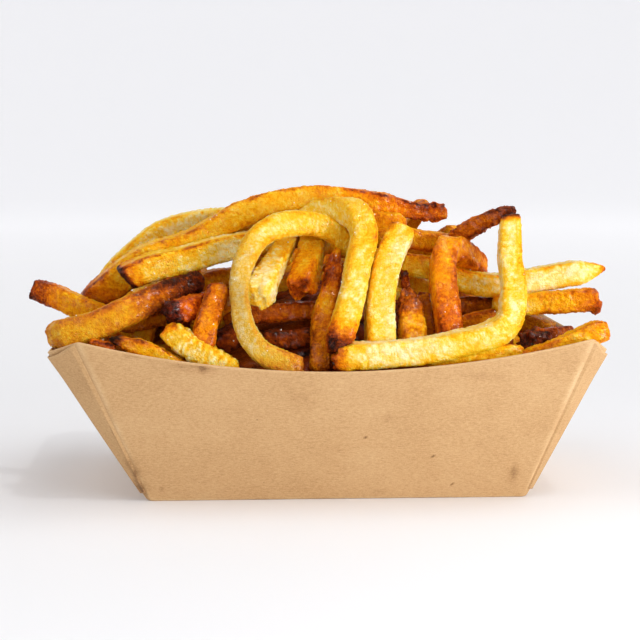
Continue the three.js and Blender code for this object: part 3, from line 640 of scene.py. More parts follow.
# %% Shapes of the fries
FRIES = {
    "long_left_front": (9, 0.95, [(-92, -44, 54.2), (-86, -43, 55.4), (-79, -42, 57), (-69, -40, 61.5),
        (-63, -38, 64), (-56, -35, 67), (-49, -31, 69.5), (-43.5, -28, 71)]),
    "brown_left_out": (7.9, 1.0, [(-99, -20, 67.6), (-92, -22, 65), (-82, -25, 61), (-72, -27, 57),
        (-60, -28, 52)]),
    "pale_back_arch": (8.1, 1.0, [(-77.5, -12, 66.5), (-73.2, -8, 72.5), (-66.3, -6, 79.2),
        (-57.5, -5, 85.5), (-45.5, -5, 88.6), (-28.5, -5, 89.2), (-14, 0, 86), (-1, 6, 81)]),
    "long_over_top": (8.3, 1.0, [(-84.5, -9, 59.3), (-79.5, -14, 64.2), (-73.8, -18, 69), (-68, -20, 73.4),
        (-60, -21, 78.2), (-48, -20, 82.2), (-39.5, -19, 87), (-31.5, -18.5, 91.5), (-20.5, -17, 95),
        (-7.5, -16, 97.3), (5.5, -15, 96.5), (19, -14, 94.5), (29, -13, 92.5), (38.3, -12, 91.8)]),
    "cut_tip_left": (8.6, 1.0, [(-69, -31, 71.7), (-60.5, -29, 75), (-51.5, -27, 77), (-41.5, -25, 80),
        (-31.5, -22, 82), (-20, -17, 83), (-6, -8, 84)]),
    "olive_behind_left": (7.2, 1.0, [(-48, -8, 66), (-40.5, -6, 69), (-32, -2, 70), (-17.5, 4, 74)]),
    "orange_upright_left": (8.3, 0.95, [(-38, -38, 70), (-40, -42, 63.5), (-42.5, -45, 57.5),
        (-43.5, -47, 49.5)]),
    "dark_nub": (7.6, 1.0, [(-55, -45, 60.5), (-52, -44, 62), (-47.5, -40, 63), (-43, -22, 63),
        (-39.5, -5, 62)]),
    "wedge_front_left": (6, 1.0, [(-72.5, -49, 54), (-67, -49, 52.5), (-60, -49, 50), (-53, -48, 46),
        (-46, -46, 42), (-38, -43, 38.5)]),
    "crinkled_pale": (8.2, 1.0, [(-54, -48, 57), (-47.5, -48, 51.5), (-39.5, -48.5, 47),
        (-32.5, -48, 42.5)]),
    "olive_shade_left": (5.5, 1.0, [(-71, -34, 57), (-62, -32, 58), (-53, -28, 59)]),
    "orange_bit_left": (3.6, 1.0, [(-79, -47, 52.5), (-74.5, -48, 52), (-70.5, -48, 51)]),
    "ring": (7.8, 0.95, [(-12, -49, 45), (-18, -50, 46.5), (-25, -50, 50), (-30, -49, 57),
        (-31.5, -46, 64.5), (-31.5, -43, 71.5), (-30, -40, 77.5), (-26, -37, 84.5), (-20, -34, 88.3),
        (-12.5, -31, 89.5), (-5, -28, 88.3), (1.8, -26, 84.3), (4.4, -25, 78)]),
    "hook": (8.8, 0.95, [(-12, -20, 88), (-4.5, -22, 92), (2.5, -27, 93.5), (6.8, -33, 91.5),
        (8.3, -37, 86), (6.8, -40, 79.5), (4.8, -44, 70.5), (1.8, -47, 60), (-1.3, -50, 50.5)]),
    "pale_upright": (10.3, 0.88, [(21.3, -33, 87.3), (18.2, -35, 81), (15, -38, 73.5), (13.5, -40, 66),
        (13, -42, 58.5), (13, -44, 49)]),
    "stub_cream": (8.2, 1.0, [(-10.5, 4, 84.5), (-14, -10, 85.5), (-16.5, -22, 82), (-21, -33, 75),
        (-26.3, -45.5, 66.3)]),
    "stub_brown_end": (8.8, 0.95, [(4, 2, 80), (-2, -10, 83), (-7, -20, 82), (-9, -28, 76),
        (-12, -36, 68)]),
    "tall_brown": (6.9, 1.0, [(0.8, -28, 82), (-1, -31, 76), (-2, -34, 69.5), (-4.5, -38, 61),
        (-5.5, -42, 52.5), (-6, -45, 42)]),
    "dark_tipped_upright": (9.4, 0.9, [(23, -31, 67.5), (24, -35, 59.5), (24, -42, 48)]),
    "dark_sliver": (3.4, 0.9, [(22, -28, 73.5), (22.8, -29, 69), (23.6, -31, 64), (24, -34, 58)]),
    "orange_behind_top": (8.4, 1.0, [(10.5, -16, 89.5), (16.5, -17, 88.5), (24, -18, 88)]),
    "big_hook_right": (8.8, 0.95, [(-2.5, -50, 48), (3.5, -50, 48.3), (12.5, -50, 48.6), (25, -50, 49.8),
        (37.5, -50, 52.2), (47.5, -49, 54.3), (54, -47, 58.8), (55.8, -44, 66.8), (55.4, -41, 76.5),
        (55.6, -38, 85.5), (56, -37, 92.5)]),
    "bent_orange": (8.7, 0.95, [(36, -42, 49), (35.5, -40, 59), (34, -37, 70), (34.3, -34, 77.5),
        (37.8, -29, 80.8), (43.5, -24, 77.5), (49, -18, 72.5)]),
    "brown_back_right": (5.9, 1.0, [(39, -18, 82), (43.5, -22, 86), (48.5, -26, 89.5), (54.5, -30, 92.4),
        (58.5, -31, 93.6)]),
    "golden_behind_right": (7, 1.0, [(12, -20, 83.5), (21, -21, 84.5), (30, -20, 83), (40, -14, 81.5)]),
    "golden_end_right": (5.6, 1.0, [(42, -11, 85.8), (37, -2, 82), (29, 8, 76)]),
    "golden_bit_top": (5, 1.0, [(31, -8, 94.5), (29, 0, 90), (26, 8, 83), (22, 14, 76)]),
    "pale_right_out": (8, 1.0, [(19.5, -23, 75.5), (31.5, -24, 74.3), (43, -25, 70), (53.5, -26, 68.5),
        (64, -26, 70), (75.5, -25, 72), (90, -24, 73.8)]),
    "torn_right_out": (8.4, 0.95, [(51.5, -28, 62.5), (60.5, -30, 62.5), (68.5, -31, 63), (76.5, -32, 63.7),
        (85.5, -33, 64.5)]),
    "dark_behind_right": (6.7, 1.0, [(29, -14, 55), (40, -22, 60.5), (48, -22, 61), (56, -20, 60),
        (65, -14, 53)]),
    "golden_shade_right": (4.8, 1.0, [(38, -34, 56), (46, -32, 58), (55, -28, 59)]),
    "crisp_brown_right": (6.5, 1.0, [(59, -46, 52), (67, -38, 52), (78, -28, 52)]),
    "olive_shade_right": (6.2, 1.0, [(58, -16, 56.5), (65, -22, 55.5), (72, -29, 53)]),
    "rim_right": (6.4, 0.95, [(51, -46, 43), (59, -48, 46.5), (67.5, -50, 49.5), (74.5, -50, 52.2),
        (80.5, -50, 55.4), (84.8, -50, 56.4)]),
    "pale_under_hook": (5.9, 1.0, [(27, -49, 46.5), (36, -50, 48.3), (46, -50, 49), (57.5, -49, 48.8)]),
    "orange_gap": (4.8, 1.0, [(29, -26, 66), (29, -30, 60), (30, -33, 51), (30, -34, 43)]),
    "shaded_across": (6.6, 1.0, [(-36, -21, 55.5), (-28, -26, 59), (-17, -27, 60), (-6, -26, 60),
        (2, -21, 56)]),
    "dark_across": (6.5, 1.0, [(-25, -34, 52), (-15, -34, 52), (-7, -32, 53)]),
    "red_shade_left": (7.8, 1.0, [(-41, -36, 50), (-34, -34, 53), (-28, -30, 55)]),
    "prop_left": (8, 1.0, [(-62, -16, 75), (-54, -2, 78), (-48, 14, 70), (-42, 30, 58)]),
    "prop_middle": (8, 1.0, [(-30, -9, 82), (-24, 6, 81.5), (-16, 22, 73), (-8, 38, 61)]),
    "prop_right": (7.4, 1.0, [(20, 8, 74), (31, 4, 76.5), (40, 6, 75), (47, 12, 70)]),
}
print(len(FRIES), "fries placed by hand")

# %% [markdown]
# How each one was fried is told in a second table: its kind, its two ends, and stops of toast and
# red along it. A fry can also have a browner upper ridge, one side browner than the other (on the
# big hook, painted shade on its underside), rougher skin, greyed flesh that is partly soaked by oil
# and partly painted shade, folds across it where it shrank, thinner and thicker stretches, a
# squarer or rounder section, an end that leans, or a bite out of its end.

# %% Looks of the fries
PLAIN = {
    "square": 4.2,              # power of the section
    "hollow": 0.035,            # how far the faces sink, as a share of the half-width
    "twist": 9,                 # degrees
    "thick": [(0, 1)],          # thickness along it, as a share of its width
    "notches": (),              # each bite's middle and radius in mm
    "ridge": 0.0,               # more toast on its upper corners
    "sides": (0, 0),            # more toast on one side than on the other, across it and up it
    "toasted_ends": 0.10,
    "darkest": 0.9,             # the most toast that it reaches
    "rough": [(0, 0.1)], "soaked": [(0, 0)],
    "folds": 0.0}               # how high the folds across it are, in mm


def look(words, toast, red, **more):
    """One fry's look: the plain one, but for what is told. The words are its kind and, where they
    aren't both round, its two ends. Toast, red, rough and soaked-and-shade are one number, or
    (share, value) stops along the fry."""
    kind, start, end = (words.split() + ["round", "round"])[:3]
    told = {**PLAIN, "kind": kind, "start": start, "end": end, "toast": toast, "red": red, **more}
    for key in ("toast", "red", "rough", "soaked"):
        if not isinstance(told[key], list):
            told[key] = [(0, told[key])]
    return told


LOOKS = {
    "long_left_front": look("golden",
        [(0, .34), (.25, .35), (.45, .41), (.62, .56), (.8, .77), (1, .81)],
        [(0, .05), (.4, .2), (1, .5)], rough=0.15, ridge=0.10, lean_start=(0.0, 0.5),
        soaked=[(0, .30), (.25, .16), (.5, .08), (1, 0)],
        thick=[(0, 1.1), (.25, 1.08), (.55, 1.05), (.8, .85), (1, .8)]),
    "brown_left_out": look("golden cut cut",
        [(0, .70), (.10, .67), (.2, .49), (.3, .37), (1, .35)], [(0, .6), (.2, .5), (.35, .2)],
        rough=0.3, square=4.8, lean_start=(0.0, 0.0)),
    "pale_back_arch": look("pale", [(0, .24), (.2, .13), (.6, .09), (1, .12)], .08,
        ridge=0.10, rough=0.2),
    "long_over_top": look("golden",
        [(0, .60), (.09, .54), (.14, .44), (.18, .24), (.24, .30), (.6, .28), (.7, .32), (.78, .42),
         (.88, .53), (.94, .62), (.985, .64), (1, .54)], [(0, .5), (.15, .1), (.6, .1), (.76, .6), (1, .6)],
        ridge=0.20, rough=[(0, .2), (.9, .2), (.95, .9)],
        thick=[(0, 1.05), (.06, 1.14), (.22, 1.30), (.3, 1.10), (.42, 1.06), (.6, 1), (.84, .92),
               (.9, .66), (.95, .78), (1, .78)]),
    "cut_tip_left": look("golden slant round",
        [(0, .92), (.017, .88), (.028, .42), (.12, .26), (.3, .19), (.45, .11), (1, .12)],
        [(0, .5), (.15, .1)], ridge=0.30, square=5.0, rough=0.25, lean_start=(-0.15, 0.35),
        thick=[(0, 1.02), (.4, 1.02), (.7, .85), (1, .72)]),
    "olive_behind_left": look("golden", .42, .05),
    "orange_upright_left": look("orange",
        [(0, .62), (.15, .54), (.4, .48), (1, .50)], [(0, .6), (.4, .35)], ridge=0.12, rough=0.2),
    "dark_nub": look("browned ragged round",
        [(0, .92), (.06, .88), (.11, .62), (.25, .56), (.4, .60), (1, .70)], 1.0, rough=0.8),
    "wedge_front_left": look("orange taper round",
        [(0, .95), (.06, .90), (.11, .56), (.2, .44), (.4, .32), (.6, .26), (1, .32)], [(0, .4), (.4, .1)],
        ridge=0.26, rough=0.4, darkest=0.97),
    "crinkled_pale": look("pale ragged round",
        [(0, .46), (.05, .28), (.25, .15), (.6, .20), (1, .27)], [(0, .6), (.2, .2)], folds=0.34,
        rough=0.6),
    "olive_shade_left": look("golden", .54, .1),
    "orange_bit_left": look("orange", .58, .6, rough=0.4),
    # The ring's soaked-and-shade stops grey its left leg: painted shade on the side turned from the light.
    "ring": look("pale ragged round",
        [(0, .50), (.05, .38), (.12, .24), (.25, .15), (.4, .13), (.55, .15), (.65, .17), (1, .28)], 0.0,
        ridge=0.10, square=3.4, rough=0.1, soaked=[(0, .25), (.35, .48), (.5, .30), (.62, 0)],
        thick=[(0, .95), (.12, .97), (.25, .85), (.35, .84), (.5, 1), (.65, 1.08), (1, 1.05)]),
    "hook": look("pale round ragged",
        [(0, .22), (.3, .18), (.5, .24), (.7, .13), (.86, .20), (.91, .40), (.95, .60), (1, .78)],
        [(0, 0), (.8, .1), (.9, .5)], square=3.6, rough=[(0, .15), (.9, .2), (.94, 1.0)],
        thick=[(0, 1.04), (1, 1.04)], darkest=0.96),
    "pale_upright": look("pale cut round", [(0, .22), (.2, .13), (1, .11)], 0.0,
        square=5.2, hollow=0.06, rough=0.1, sides=(-0.03, -0.11),
        thick=[(0, 1), (.3, .97), (.6, .99), (1, 1.06)]),
    "stub_cream": look("pale round ragged",
        [(0, .36), (.6, .20), (.72, .09), (.95, .06), (1, .12)], 0.0, rough=0.5, toasted_ends=0.04,
        thick=[(0, .8), (.55, .78), (.75, .9), (.9, 1.15), (1, 1.22)]),
    "stub_brown_end": look("golden round torn",
        [(0, .34), (.7, .31), (.86, .34), (.94, .46), (1, .60)], [(0, .1), (.9, .6)], rough=0.5,
        square=5.0),
    "tall_brown": look("browned taper round",
        [(0, .34), (.06, .44), (.12, .66), (.3, .70), (.38, .44), (.5, .35), (.62, .53), (1, .62)],
        [(0, .4), (.1, .7), (.5, .4), (.7, .0), (1, .0)], rough=0.25,
        thick=[(0, .85), (.25, .87), (.5, 1), (1, 1.08)]),
    "dark_tipped_upright": look("browned ragged round",
        [(0, .66), (.2, .68), (.38, .60), (.5, .42), (1, .38)], .15, rough=0.9,
        thick=[(0, .62), (.2, .85), (.4, 1), (1, 1.05)]),
    "dark_sliver": look("browned ragged round", .70, .6, rough=0.5),
    "orange_behind_top": look("golden", .42, .2),
    "big_hook_right": look("pale ragged cut",
        [(0, .62), (.025, .48), (.05, .22), (.15, .10), (.35, .09), (.45, .15), (.58, .20), (.66, .14),
         (.85, .14), (.975, .17), (.99, .60), (1, .86)], [(0, .5), (.08, 0)], square=4.6, rough=0.12,
        # Painted shade: more toast across the fry, on the underside of its bottom run, where it lies in
        # shade.
        sides=(0.06, 0.0),
        thick=[(0, .95), (.4, 1), (.55, 1.02), (.66, .9), (.78, .9), (.88, .88), (.96, .8), (1, .66)]),
    "bent_orange": look("orange",
        [(0, .61), (.3, .53), (.5, .44), (.6, .40), (.75, .47), (1, .57)], [(0, .7), (.5, .4), (1, .5)],
        rough=0.15),
    "brown_back_right": look("browned",
        [(0, .62), (.6, .62), (.8, .66), (1, .80)], .4, rough=0.35,
        thick=[(0, 1.15), (.5, 1.05), (.8, .85), (1, .7)]),
    "golden_behind_right": look("golden", .42, .1),
    "golden_end_right": look("golden", .36, .1),
    "golden_bit_top": look("golden cut round", .42, .1),
    "pale_right_out": look("pale round taper",
        [(0, .30), (.3, .26), (.45, .16), (.55, .07), (.9, .05), (.96, .26), (1, .54)],
        [(0, .1), (.95, .3)], square=5.5, ridge=0.20, rough=0.15),
    "torn_right_out": look("golden round torn",
        [(0, .30), (.3, .16), (.5, .36), (.7, .40), (.84, .43), (.93, .50), (1, .56)],
        [(0, .1), (.7, .1), (1, .5)], rough=0.5, notches=[(84.6, -34.8, 62.2, 2.6)]),
    "dark_behind_right": look("golden", .60, .0),
    "golden_shade_right": look("golden", .50, .2),
    "crisp_brown_right": look("browned ragged round",
        [(0, .84), (.3, .80), (.42, .66), (1, .60)], .5, rough=[(0, 1.1), (.38, 1.1), (.46, 0.05)]),
    "olive_shade_right": look("golden", .44, .0, soaked=.2),
    "rim_right": look("golden round ragged",
        [(0, .40), (.7, .32), (.9, .35), (1, .42)], .1, rough=0.5, thick=[(0, 1), (1, 1.22)]),
    "pale_under_hook": look("pale round ragged", .30, .10, rough=0.4),
    "orange_gap": look("orange", .54, .3),
    "shaded_across": look("orange", .55, .7, ridge=0.1),
    "dark_across": look("browned", .76, .6),
    "red_shade_left": look("browned", .76, .7),
    "prop_left": look("golden", .44, .1),
    "prop_middle": look("pale round cut", .34, .1),
    "prop_right": look("golden", .50, .1),
}
print("looks for", len(LOOKS), "fries, missing:", sorted(set(FRIES) ^ set(LOOKS)))

# %% [markdown]
# ## The tray's measures
#
# The fries rest in the tray, so its inside has to be known before they are laid. The walls lean
# out as flat panels and the long walls' rims dip in a shallow parabola. All of it repeats the
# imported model.

# %% Measures of the tray
BOARD = 0.6
BASE = {"half_length": 62.0, "half_width": 39.0, "chamfer": 1.2}
PEAK = {"left": -81.3, "right": 78.5, "half_width": 60.0, "height": 54.5}
LEFT_END = {"x": -91.7, "half_width": 52.0, "height": 50.4}
RIGHT_END = {"x": 84.3, "half_width": 54.0, "height": 50.4}
RIM_DIP = 44.1


def level_thickness(out, up):
    """A leaning board's thickness measured level: its own times the slope's length over its rise."""
    return BOARD * math.hypot(out, up) / up


LONG_WALL_IN = level_thickness(PEAK["half_width"] - BASE["half_width"], PEAK["height"])
END_WALL_IN = {
    end["x"]: level_thickness(abs(end["x"]) - BASE["half_length"], end["height"])
    for end in (LEFT_END, RIGHT_END)}


def long_wall_y(z):
    """How far out a long wall is at a height: a straight line from its foot to its peak."""
    return BASE["half_width"] + (PEAK["half_width"] - BASE["half_width"]) * z / PEAK["height"]


def room_at(z, gap):
    """Left, right and half-width of the space inside the tray at a height, short of the walls."""
    y = long_wall_y(z) - LONG_WALL_IN - gap
    right = BASE["half_length"] + (RIGHT_END["x"] - BASE["half_length"]) * z / RIGHT_END["height"]
    left = -BASE["half_length"] + (LEFT_END["x"] + BASE["half_length"]) * z / LEFT_END["height"]
    return left + END_WALL_IN[LEFT_END["x"]] + gap, right - END_WALL_IN[RIGHT_END["x"]] - gap, y


print("inside at the rim dip:", [round(v, 1) for v in room_at(RIM_DIP, 0)])

# %% [markdown]
# ## The fries underneath
#
# Between and behind the listed fries lie many more. They are dropped by rule: at each
# turn 220 fries fall at random places, each comes to rest on the core and on the fries already
# there, and the one that ends lowest stays. The random numbers come from a small fixed formula,
# so the heap is the same each time and the same as in the imported model.

# %% Rules for laying fries
CORE = {"gap": 0.5, "floor": 1.1, "edge": 35.0, "crown": 33.0, "centre_y": 8.0, "end_fall": 1.6,
        "corner": 0.9}
FILLER = {"count": 76, "drops": 220, "seed": 7, "along_x": (-84, 78), "along_y": (-44, 50),
          "length": (36, 84), "width": (7.0, 9.4), "flatness": (0.82, 1), "heading": 0.55,
          "sag": 2.4, "bend": 7, "touch": 0.8, "touch_fixed": 0.78, "sink": 0.15,
          "long_first": 0.05, "wall_gap": 1.3, "overhang": 9, "max_slope": 0.55}
CEILING = {"arch": 76, "arch_before": -45, "middle": 83, "middle_x": 7, "middle_half": 16,
           "middle_fall": 0.5, "left_end": 57, "left_x": -80, "left_fall": 1.2, "right_end": 46,
           "right_x": 80, "right_fall": 1.1, "front": 55, "front_y": -30, "front_rise": 0.55}
SPHERE_STEP = 3.2
PLACES = 9                      # along a dropped fry, at which it may touch what lies below
DRAWS = 9                       # random numbers that one dropped fry uses


def core_height(x, y):
    """Height of the core's dome: its edge plus its crown, times how far the place is from the
    ends and from the sides, each as one less the square of its share of the way out."""
    left, right, half = room_at(CORE["edge"], 0)
    middle = (left + right) / 2
    along = (x - middle) / (right - middle)
    reach = np.where(y > CORE["centre_y"], half - CORE["centre_y"], half + CORE["centre_y"])
    across = (y - CORE["centre_y"]) / reach
    dome = np.maximum(0, 1 - along ** 2) ** CORE["end_fall"] * np.maximum(0, 1 - across ** 2)
    return CORE["edge"] + CORE["crown"] * dome


def seeded_numbers(seed, count):
    """Numbers from 0 to 1: the state is multiplied by 1664525, 1013904223 is added, and the
    remainder over two to the 32nd is kept."""
    state, numbers = seed, np.empty(count)
    for index in range(count):
        state = (1664525 * state + 1013904223) % 4294967296
        numbers[index] = state / 4294967296
    return numbers


def ceiling_at(x, y):
    """How high the laid fries may reach: the least of four sloping limits."""
    c = CEILING
    from_middle = np.maximum(0, np.abs(x - c["middle_x"]) - c["middle_half"])
    middle = np.where(x < c["arch_before"], c["arch"], c["middle"] - c["middle_fall"] * from_middle)
    left = c["left_end"] + c["left_fall"] * np.maximum(0, x - c["left_x"])
    right = c["right_end"] + c["right_fall"] * np.maximum(0, c["right_x"] - x)
    front = c["front"] + c["front_rise"] * np.maximum(0, y - c["front_y"])
    return np.minimum(np.minimum(middle, left), np.minimum(right, front))


# %% Where dropped fries come to rest
def spheres_of(waypoints):
    """Points along fries of the same number of waypoints, evenly in the curve's parameter, about
    every 3.2 mm, with which of them count."""
    steps = np.linalg.norm(np.diff(waypoints, axis=1), axis=2).sum(axis=1)
    counts = np.maximum(4, np.floor(steps / SPHERE_STEP + 0.5)).astype(int)
    index = np.arange(counts.max() + 1)[None, :]
    last = waypoints.shape[1] - 1
    place = np.minimum(index / counts[:, None], 1) * last
    p = np.concatenate([2 * waypoints[:, :1] - waypoints[:, 1:2], waypoints,
                        2 * waypoints[:, -1:] - waypoints[:, -2:-1]], axis=1)
    at, which = np.minimum(place.astype(int), last - 1), np.arange(len(p))[:, None]
    points = cubic(*(p[which, at + k] for k in range(4)), (place - at)[..., None])
    return points, index <= counts[:, None]


def rest_heights(x, y, r, laid):
    """Height at which spheres would rest: on the core, or on any laid sphere that is close
    enough in plan, higher by the leg of the right triangle between the two middles."""
    height = core_height(x, y) + r[:, None] * FILLER["sink"]
    if len(laid):
        reach = (laid[:, 3] + r[:, None]) * FILLER["touch"]
        for place in range(x.shape[1]):
            gap = (laid[:, 0] - x[:, place, None]) ** 2 + (laid[:, 1] - y[:, place, None]) ** 2
            lift = laid[:, 2] + np.sqrt(np.maximum(reach ** 2 - gap, 0))
            lift = np.where(gap < reach ** 2, lift, -np.inf).max(axis=1)
            height[:, place] = np.maximum(height[:, place], lift)
    return height


def rest_lines(places, heights):
    """A straight stick touches the ground on both sides of its middle: of all lines through one
    place on each side, the one that is highest over the middle, and its slope."""
    half = PLACES // 2
    pairs = [(i, j) for i in range(half + 1) for j in range(half, PLACES) if i < j]
    i, j = np.array(pairs).T
    slopes = (heights[:, j] - heights[:, i]) / (places[:, j] - places[:, i])
    middles = heights[:, i] - slopes * places[:, i]
    best = middles.argmax(axis=1)
    pick = np.arange(len(best))
    return middles[pick, best], slopes[pick, best]


# %% Lay the fries
def dropped_fries(numbers, laid, fixed):
    """One round of drops: each fry's width, flatness and three waypoints, how high it ended, and
    whether it may lie there."""
    def spread(key, column):
        low, high = FILLER[key]
        return low + (high - low) * numbers[:, column]

    x, y = spread("along_x", 0), spread("along_y", 1)
    heading = (numbers[:, 2] + numbers[:, 3] - 1) * math.pi * FILLER["heading"]
    length, width = spread("length", 4), spread("width", 5)
    sag = (numbers[:, 6] - 0.5) * FILLER["sag"]
    bend = (numbers[:, 7] - 0.5) * FILLER["bend"]
    c, s, r = np.cos(heading), np.sin(heading), width / 2
    places = (np.arange(PLACES) / (PLACES - 1) - 0.5) * length[:, None]
    heights = rest_heights(x[:, None] + places * c[:, None], y[:, None] + places * s[:, None], r, laid)
    middle, slope = rest_lines(places, heights)
    shares = np.array([-0.5, 0, 0.5])
    p, bow = shares * length[:, None], 1 - 4 * shares ** 2
    points = np.stack([
        x[:, None] + p * c[:, None] - bow * (bend * s)[:, None],
        y[:, None] + p * s[:, None] + bow * (bend * c)[:, None],
        middle[:, None] + p * slope[:, None] - bow * sag[:, None]], axis=-1)
    spheres, counted = spheres_of(points)
    sx, sy, sz, sr = *np.moveaxis(spheres, -1, 0), r[:, None]
    left, right, half = room_at(np.minimum(sz, RIM_DIP), FILLER["wall_gap"] + sr)
    spare = np.where(sz - sr < PEAK["height"] + 1, 0, FILLER["overhang"] + sr)
    clear = (np.abs(sy) <= half) & (sx > left - spare) & (sx < right + spare)
    clear &= sz + sr < ceiling_at(sx, sy)
    fits = (np.abs(slope) <= FILLER["max_slope"]) & (clear | ~counted).all(axis=1)
    for index in np.flatnonzero(fits):
        own = spheres[index][counted[index]]
        gap = ((own[:, None] - fixed[:, :3]) ** 2).sum(axis=-1)
        fits[index] = (gap > ((r[index] + fixed[:, 3]) * FILLER["touch_fixed"]) ** 2).all()
    rise = middle - core_height(x, y) - length * FILLER["long_first"]
    return width, spread("flatness", 8), points, spheres, counted, rise, fits


def laid_fries():
    """All fries laid by rule, each the lowest that fits of one round of drops."""
    fixed = []
    for width, _, waypoints in FRIES.values():
        points, _ = spheres_of(np.array([waypoints], float))
        fixed.append(np.column_stack([points[0], np.full(len(points[0]), width / 2)]))
    fixed, laid, found = np.concatenate(fixed), np.empty((0, 4)), []
    numbers = seeded_numbers(FILLER["seed"], FILLER["count"] * FILLER["drops"] * DRAWS)
    for turn in numbers.reshape(FILLER["count"], FILLER["drops"], DRAWS):
        width, flatness, points, spheres, counted, rise, fits = dropped_fries(turn, laid, fixed)
        if fits.any():
            best = np.where(fits, rise, np.inf).argmin()
            own = spheres[best][counted[best]]
            laid = np.concatenate([laid, np.column_stack([own, np.full(len(own), width[best] / 2)])])
            found.append((width[best], flatness[best], points[best]))
    return found


LAID = laid_fries()
print(len(LAID), "fries laid by rule; the first has its middle at", LAID[0][2][1].round(2))

# %% [markdown]
# The laid fries get their looks by rule too: most are golden or pale, some orange, a few well
# browned, and nearly half are toastier towards one end.

# %% Looks of the laid fries
KINDS = {
    # kind: (its share of them, least and most toast, least and most red)
    "pale": (0.34, (0.14, 0.28), (0, 0.1)), "golden": (0.38, (0.32, 0.46), (0, 0.35)),
    "orange": (0.16, (0.44, 0.56), (0.4, 0.8)), "browned": (0.12, (0.56, 0.72), (0.3, 0.8))}


def drawn_look(draw):
    """A look for a laid fry from a seeded generator: its kind first, then toast and red within
    that kind's range, its ends, and whether it is toastier towards one of them."""
    kind = draw.choice(list(KINDS), p=[share for share, _, _ in KINDS.values()])
    toast, red = (draw.uniform(*limits) for limits in KINDS[kind][1:])
    ends = draw.choice(["cut", "slant", "round", "ragged", "taper"], size=2, p=[.3, .15, .3, .15, .1])
    tip = toast + draw.uniform(0.02, 0.4) * (draw.random() < 0.45)
    return look(" ".join([kind, *ends]),
                [(0, toast), (0.75, toast), (0.9, (toast + tip) / 2), (1, tip)],
                [(0, red), (1, min(1, red + 0.2))], square=draw.uniform(3.2, 5.4),
                ridge=draw.uniform(0, 0.25), rough=draw.uniform(0, 0.3), twist=draw.uniform(4, 16))


draw = np.random.default_rng(20)
LAID_LOOKS = [drawn_look(draw) for _ in LAID]
print({kind: sum(item["kind"] == kind for item in LAID_LOOKS) for kind in KINDS})

# %% [markdown]
# ## Make the fries
#
# The fries that show are modelled finely, with a point about every half millimetre along them.
# The laid ones have about half as many, enough for their larger blisters. Each kind is one piece.

# %% Build the pieces
FINE = (0.46, 56)               # mm from row to row, and columns round a fry
COARSE = (0.95, 30)


def finish_piece(piece, node="fries"):
    """Every piece rides on the one body and stands for a node, whose imported part is hidden."""
    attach(piece, "root")
    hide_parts(node)


def dressed_by_kind(fries, looks, seed, fineness):
    """The dressed grids of these fries, in one list for each kind."""
    grids = {kind: [] for kind in FRIED}
    for index, (fry, its_look) in enumerate(zip(fries, looks)):
        grids[its_look["kind"]].append(dressed_fry(fry, its_look, seed + index, *fineness))
    return grids


shown = dressed_by_kind(FRIES.values(), [LOOKS[name] for name in FRIES], 0, FINE)
laid = dressed_by_kind(LAID, LAID_LOOKS, 100, COARSE)
for kind, material in FRIED.items():
    finish_piece(join_fries(kind + "_fries", shown[kind], material))
    finish_piece(join_fries("lower_" + kind + "_fries", laid[kind], material))

# %% [markdown]
# ## The core of the heap
#
# Deep inside, the fries are packed close, and the gaps between them lie in deep shade. That shade is painted:
# the core is coloured dark brown, and darker in the creases between its sticks.
# One closed body fills the tray there, shaped like the imported model's core. Its top is worked out
# as sticks that lie side by side in two directions, and whichever stick is higher shows.

# %% Sticks on the core
STICKS = {"pitch": 8.2, "length": 44.0, "round": 1.9, "uneven": 1.3, "headings": (0.32, -0.62),
          "bend": 3.0, "bend_size": 40}


def lying_sticks(points, heading, seed):
    """Height, crease and own number of sticks side by side. Across the heading each is round: its
    crease is one less the root of one less the square of the share of its half-width. A steady
    random number for each stick raises or lowers it."""
    c, s = math.cos(heading), math.sin(heading)
    bend = STICKS["bend"] * noise(points * (1, 1, 0), STICKS["bend_size"], seed)
    across = (points[..., 1] * c - points[..., 0] * s + bend) / STICKS["pitch"]
    row = np.floor(across).astype(np.int64)
    along = (points[..., 0] * c + points[..., 1] * s) / STICKS["length"]
    along = along + corner_numbers(np.stack([row, 0 * row, 0 * row], -1), seed)
    own = corner_numbers(np.stack([row, np.floor(along).astype(np.int64), 0 * row], -1), seed + 1)
    crease = 1 - np.sqrt(1 - 0.95 * (2 * (across - row) - 1) ** 2)
    return STICKS["uneven"] * own - STICKS["round"] * crease, crease, own


# %% Build the core
def core_grid(sides=300):
    """Closed grid of the core. The plan outline is a rectangle with its corners cut, by angle;
    rings go up the leaning walls to the shoulder and then in over the dome."""
    angles = np.arange(sides) * 2 * math.pi / sides
    c, s = np.cos(angles), np.sin(angles)
    flat = 1 / np.maximum(np.abs(c), np.abs(s))
    reach = np.minimum(flat, 2 * CORE["corner"] / (np.abs(c) + np.abs(s)))

    def ring(z, share, dome=False):
        left, right, half = room_at(z, CORE["gap"])
        x, y = reach * share * c * np.where(c > 0, right, -left), reach * share * s * half
        return np.stack([x, y, core_height(x, y) if dome else np.full(sides, z)], -1)

    rows = [ring(CORE["floor"], share) for share in (0, 0.5, 0.97)]
    rows += [ring(z, 1) for z in np.linspace(CORE["floor"] + 0.6, CORE["edge"] - 2, 14)]
    rows += [ring(CORE["edge"], share, True) for share in [*np.linspace(0.97, 0.06, 130), 0]]
    return np.array(rows)


core = core_grid()
first, second = (lying_sticks(core, heading, 45 + 3 * n) for n, heading in enumerate(STICKS["headings"]))
stick, crease, own = (np.where(first[0] > second[0], a, b) for a, b in zip(first, second))
blisters = 0.14 * pillows(core, 1.9, 41) + 0.08 * noise(core, 0.9, 42)
lump = np.minimum(stick - STICKS["uneven"] + blisters, 0.2) * ease(20, 36, core[..., 2])
core[..., 2] += lump
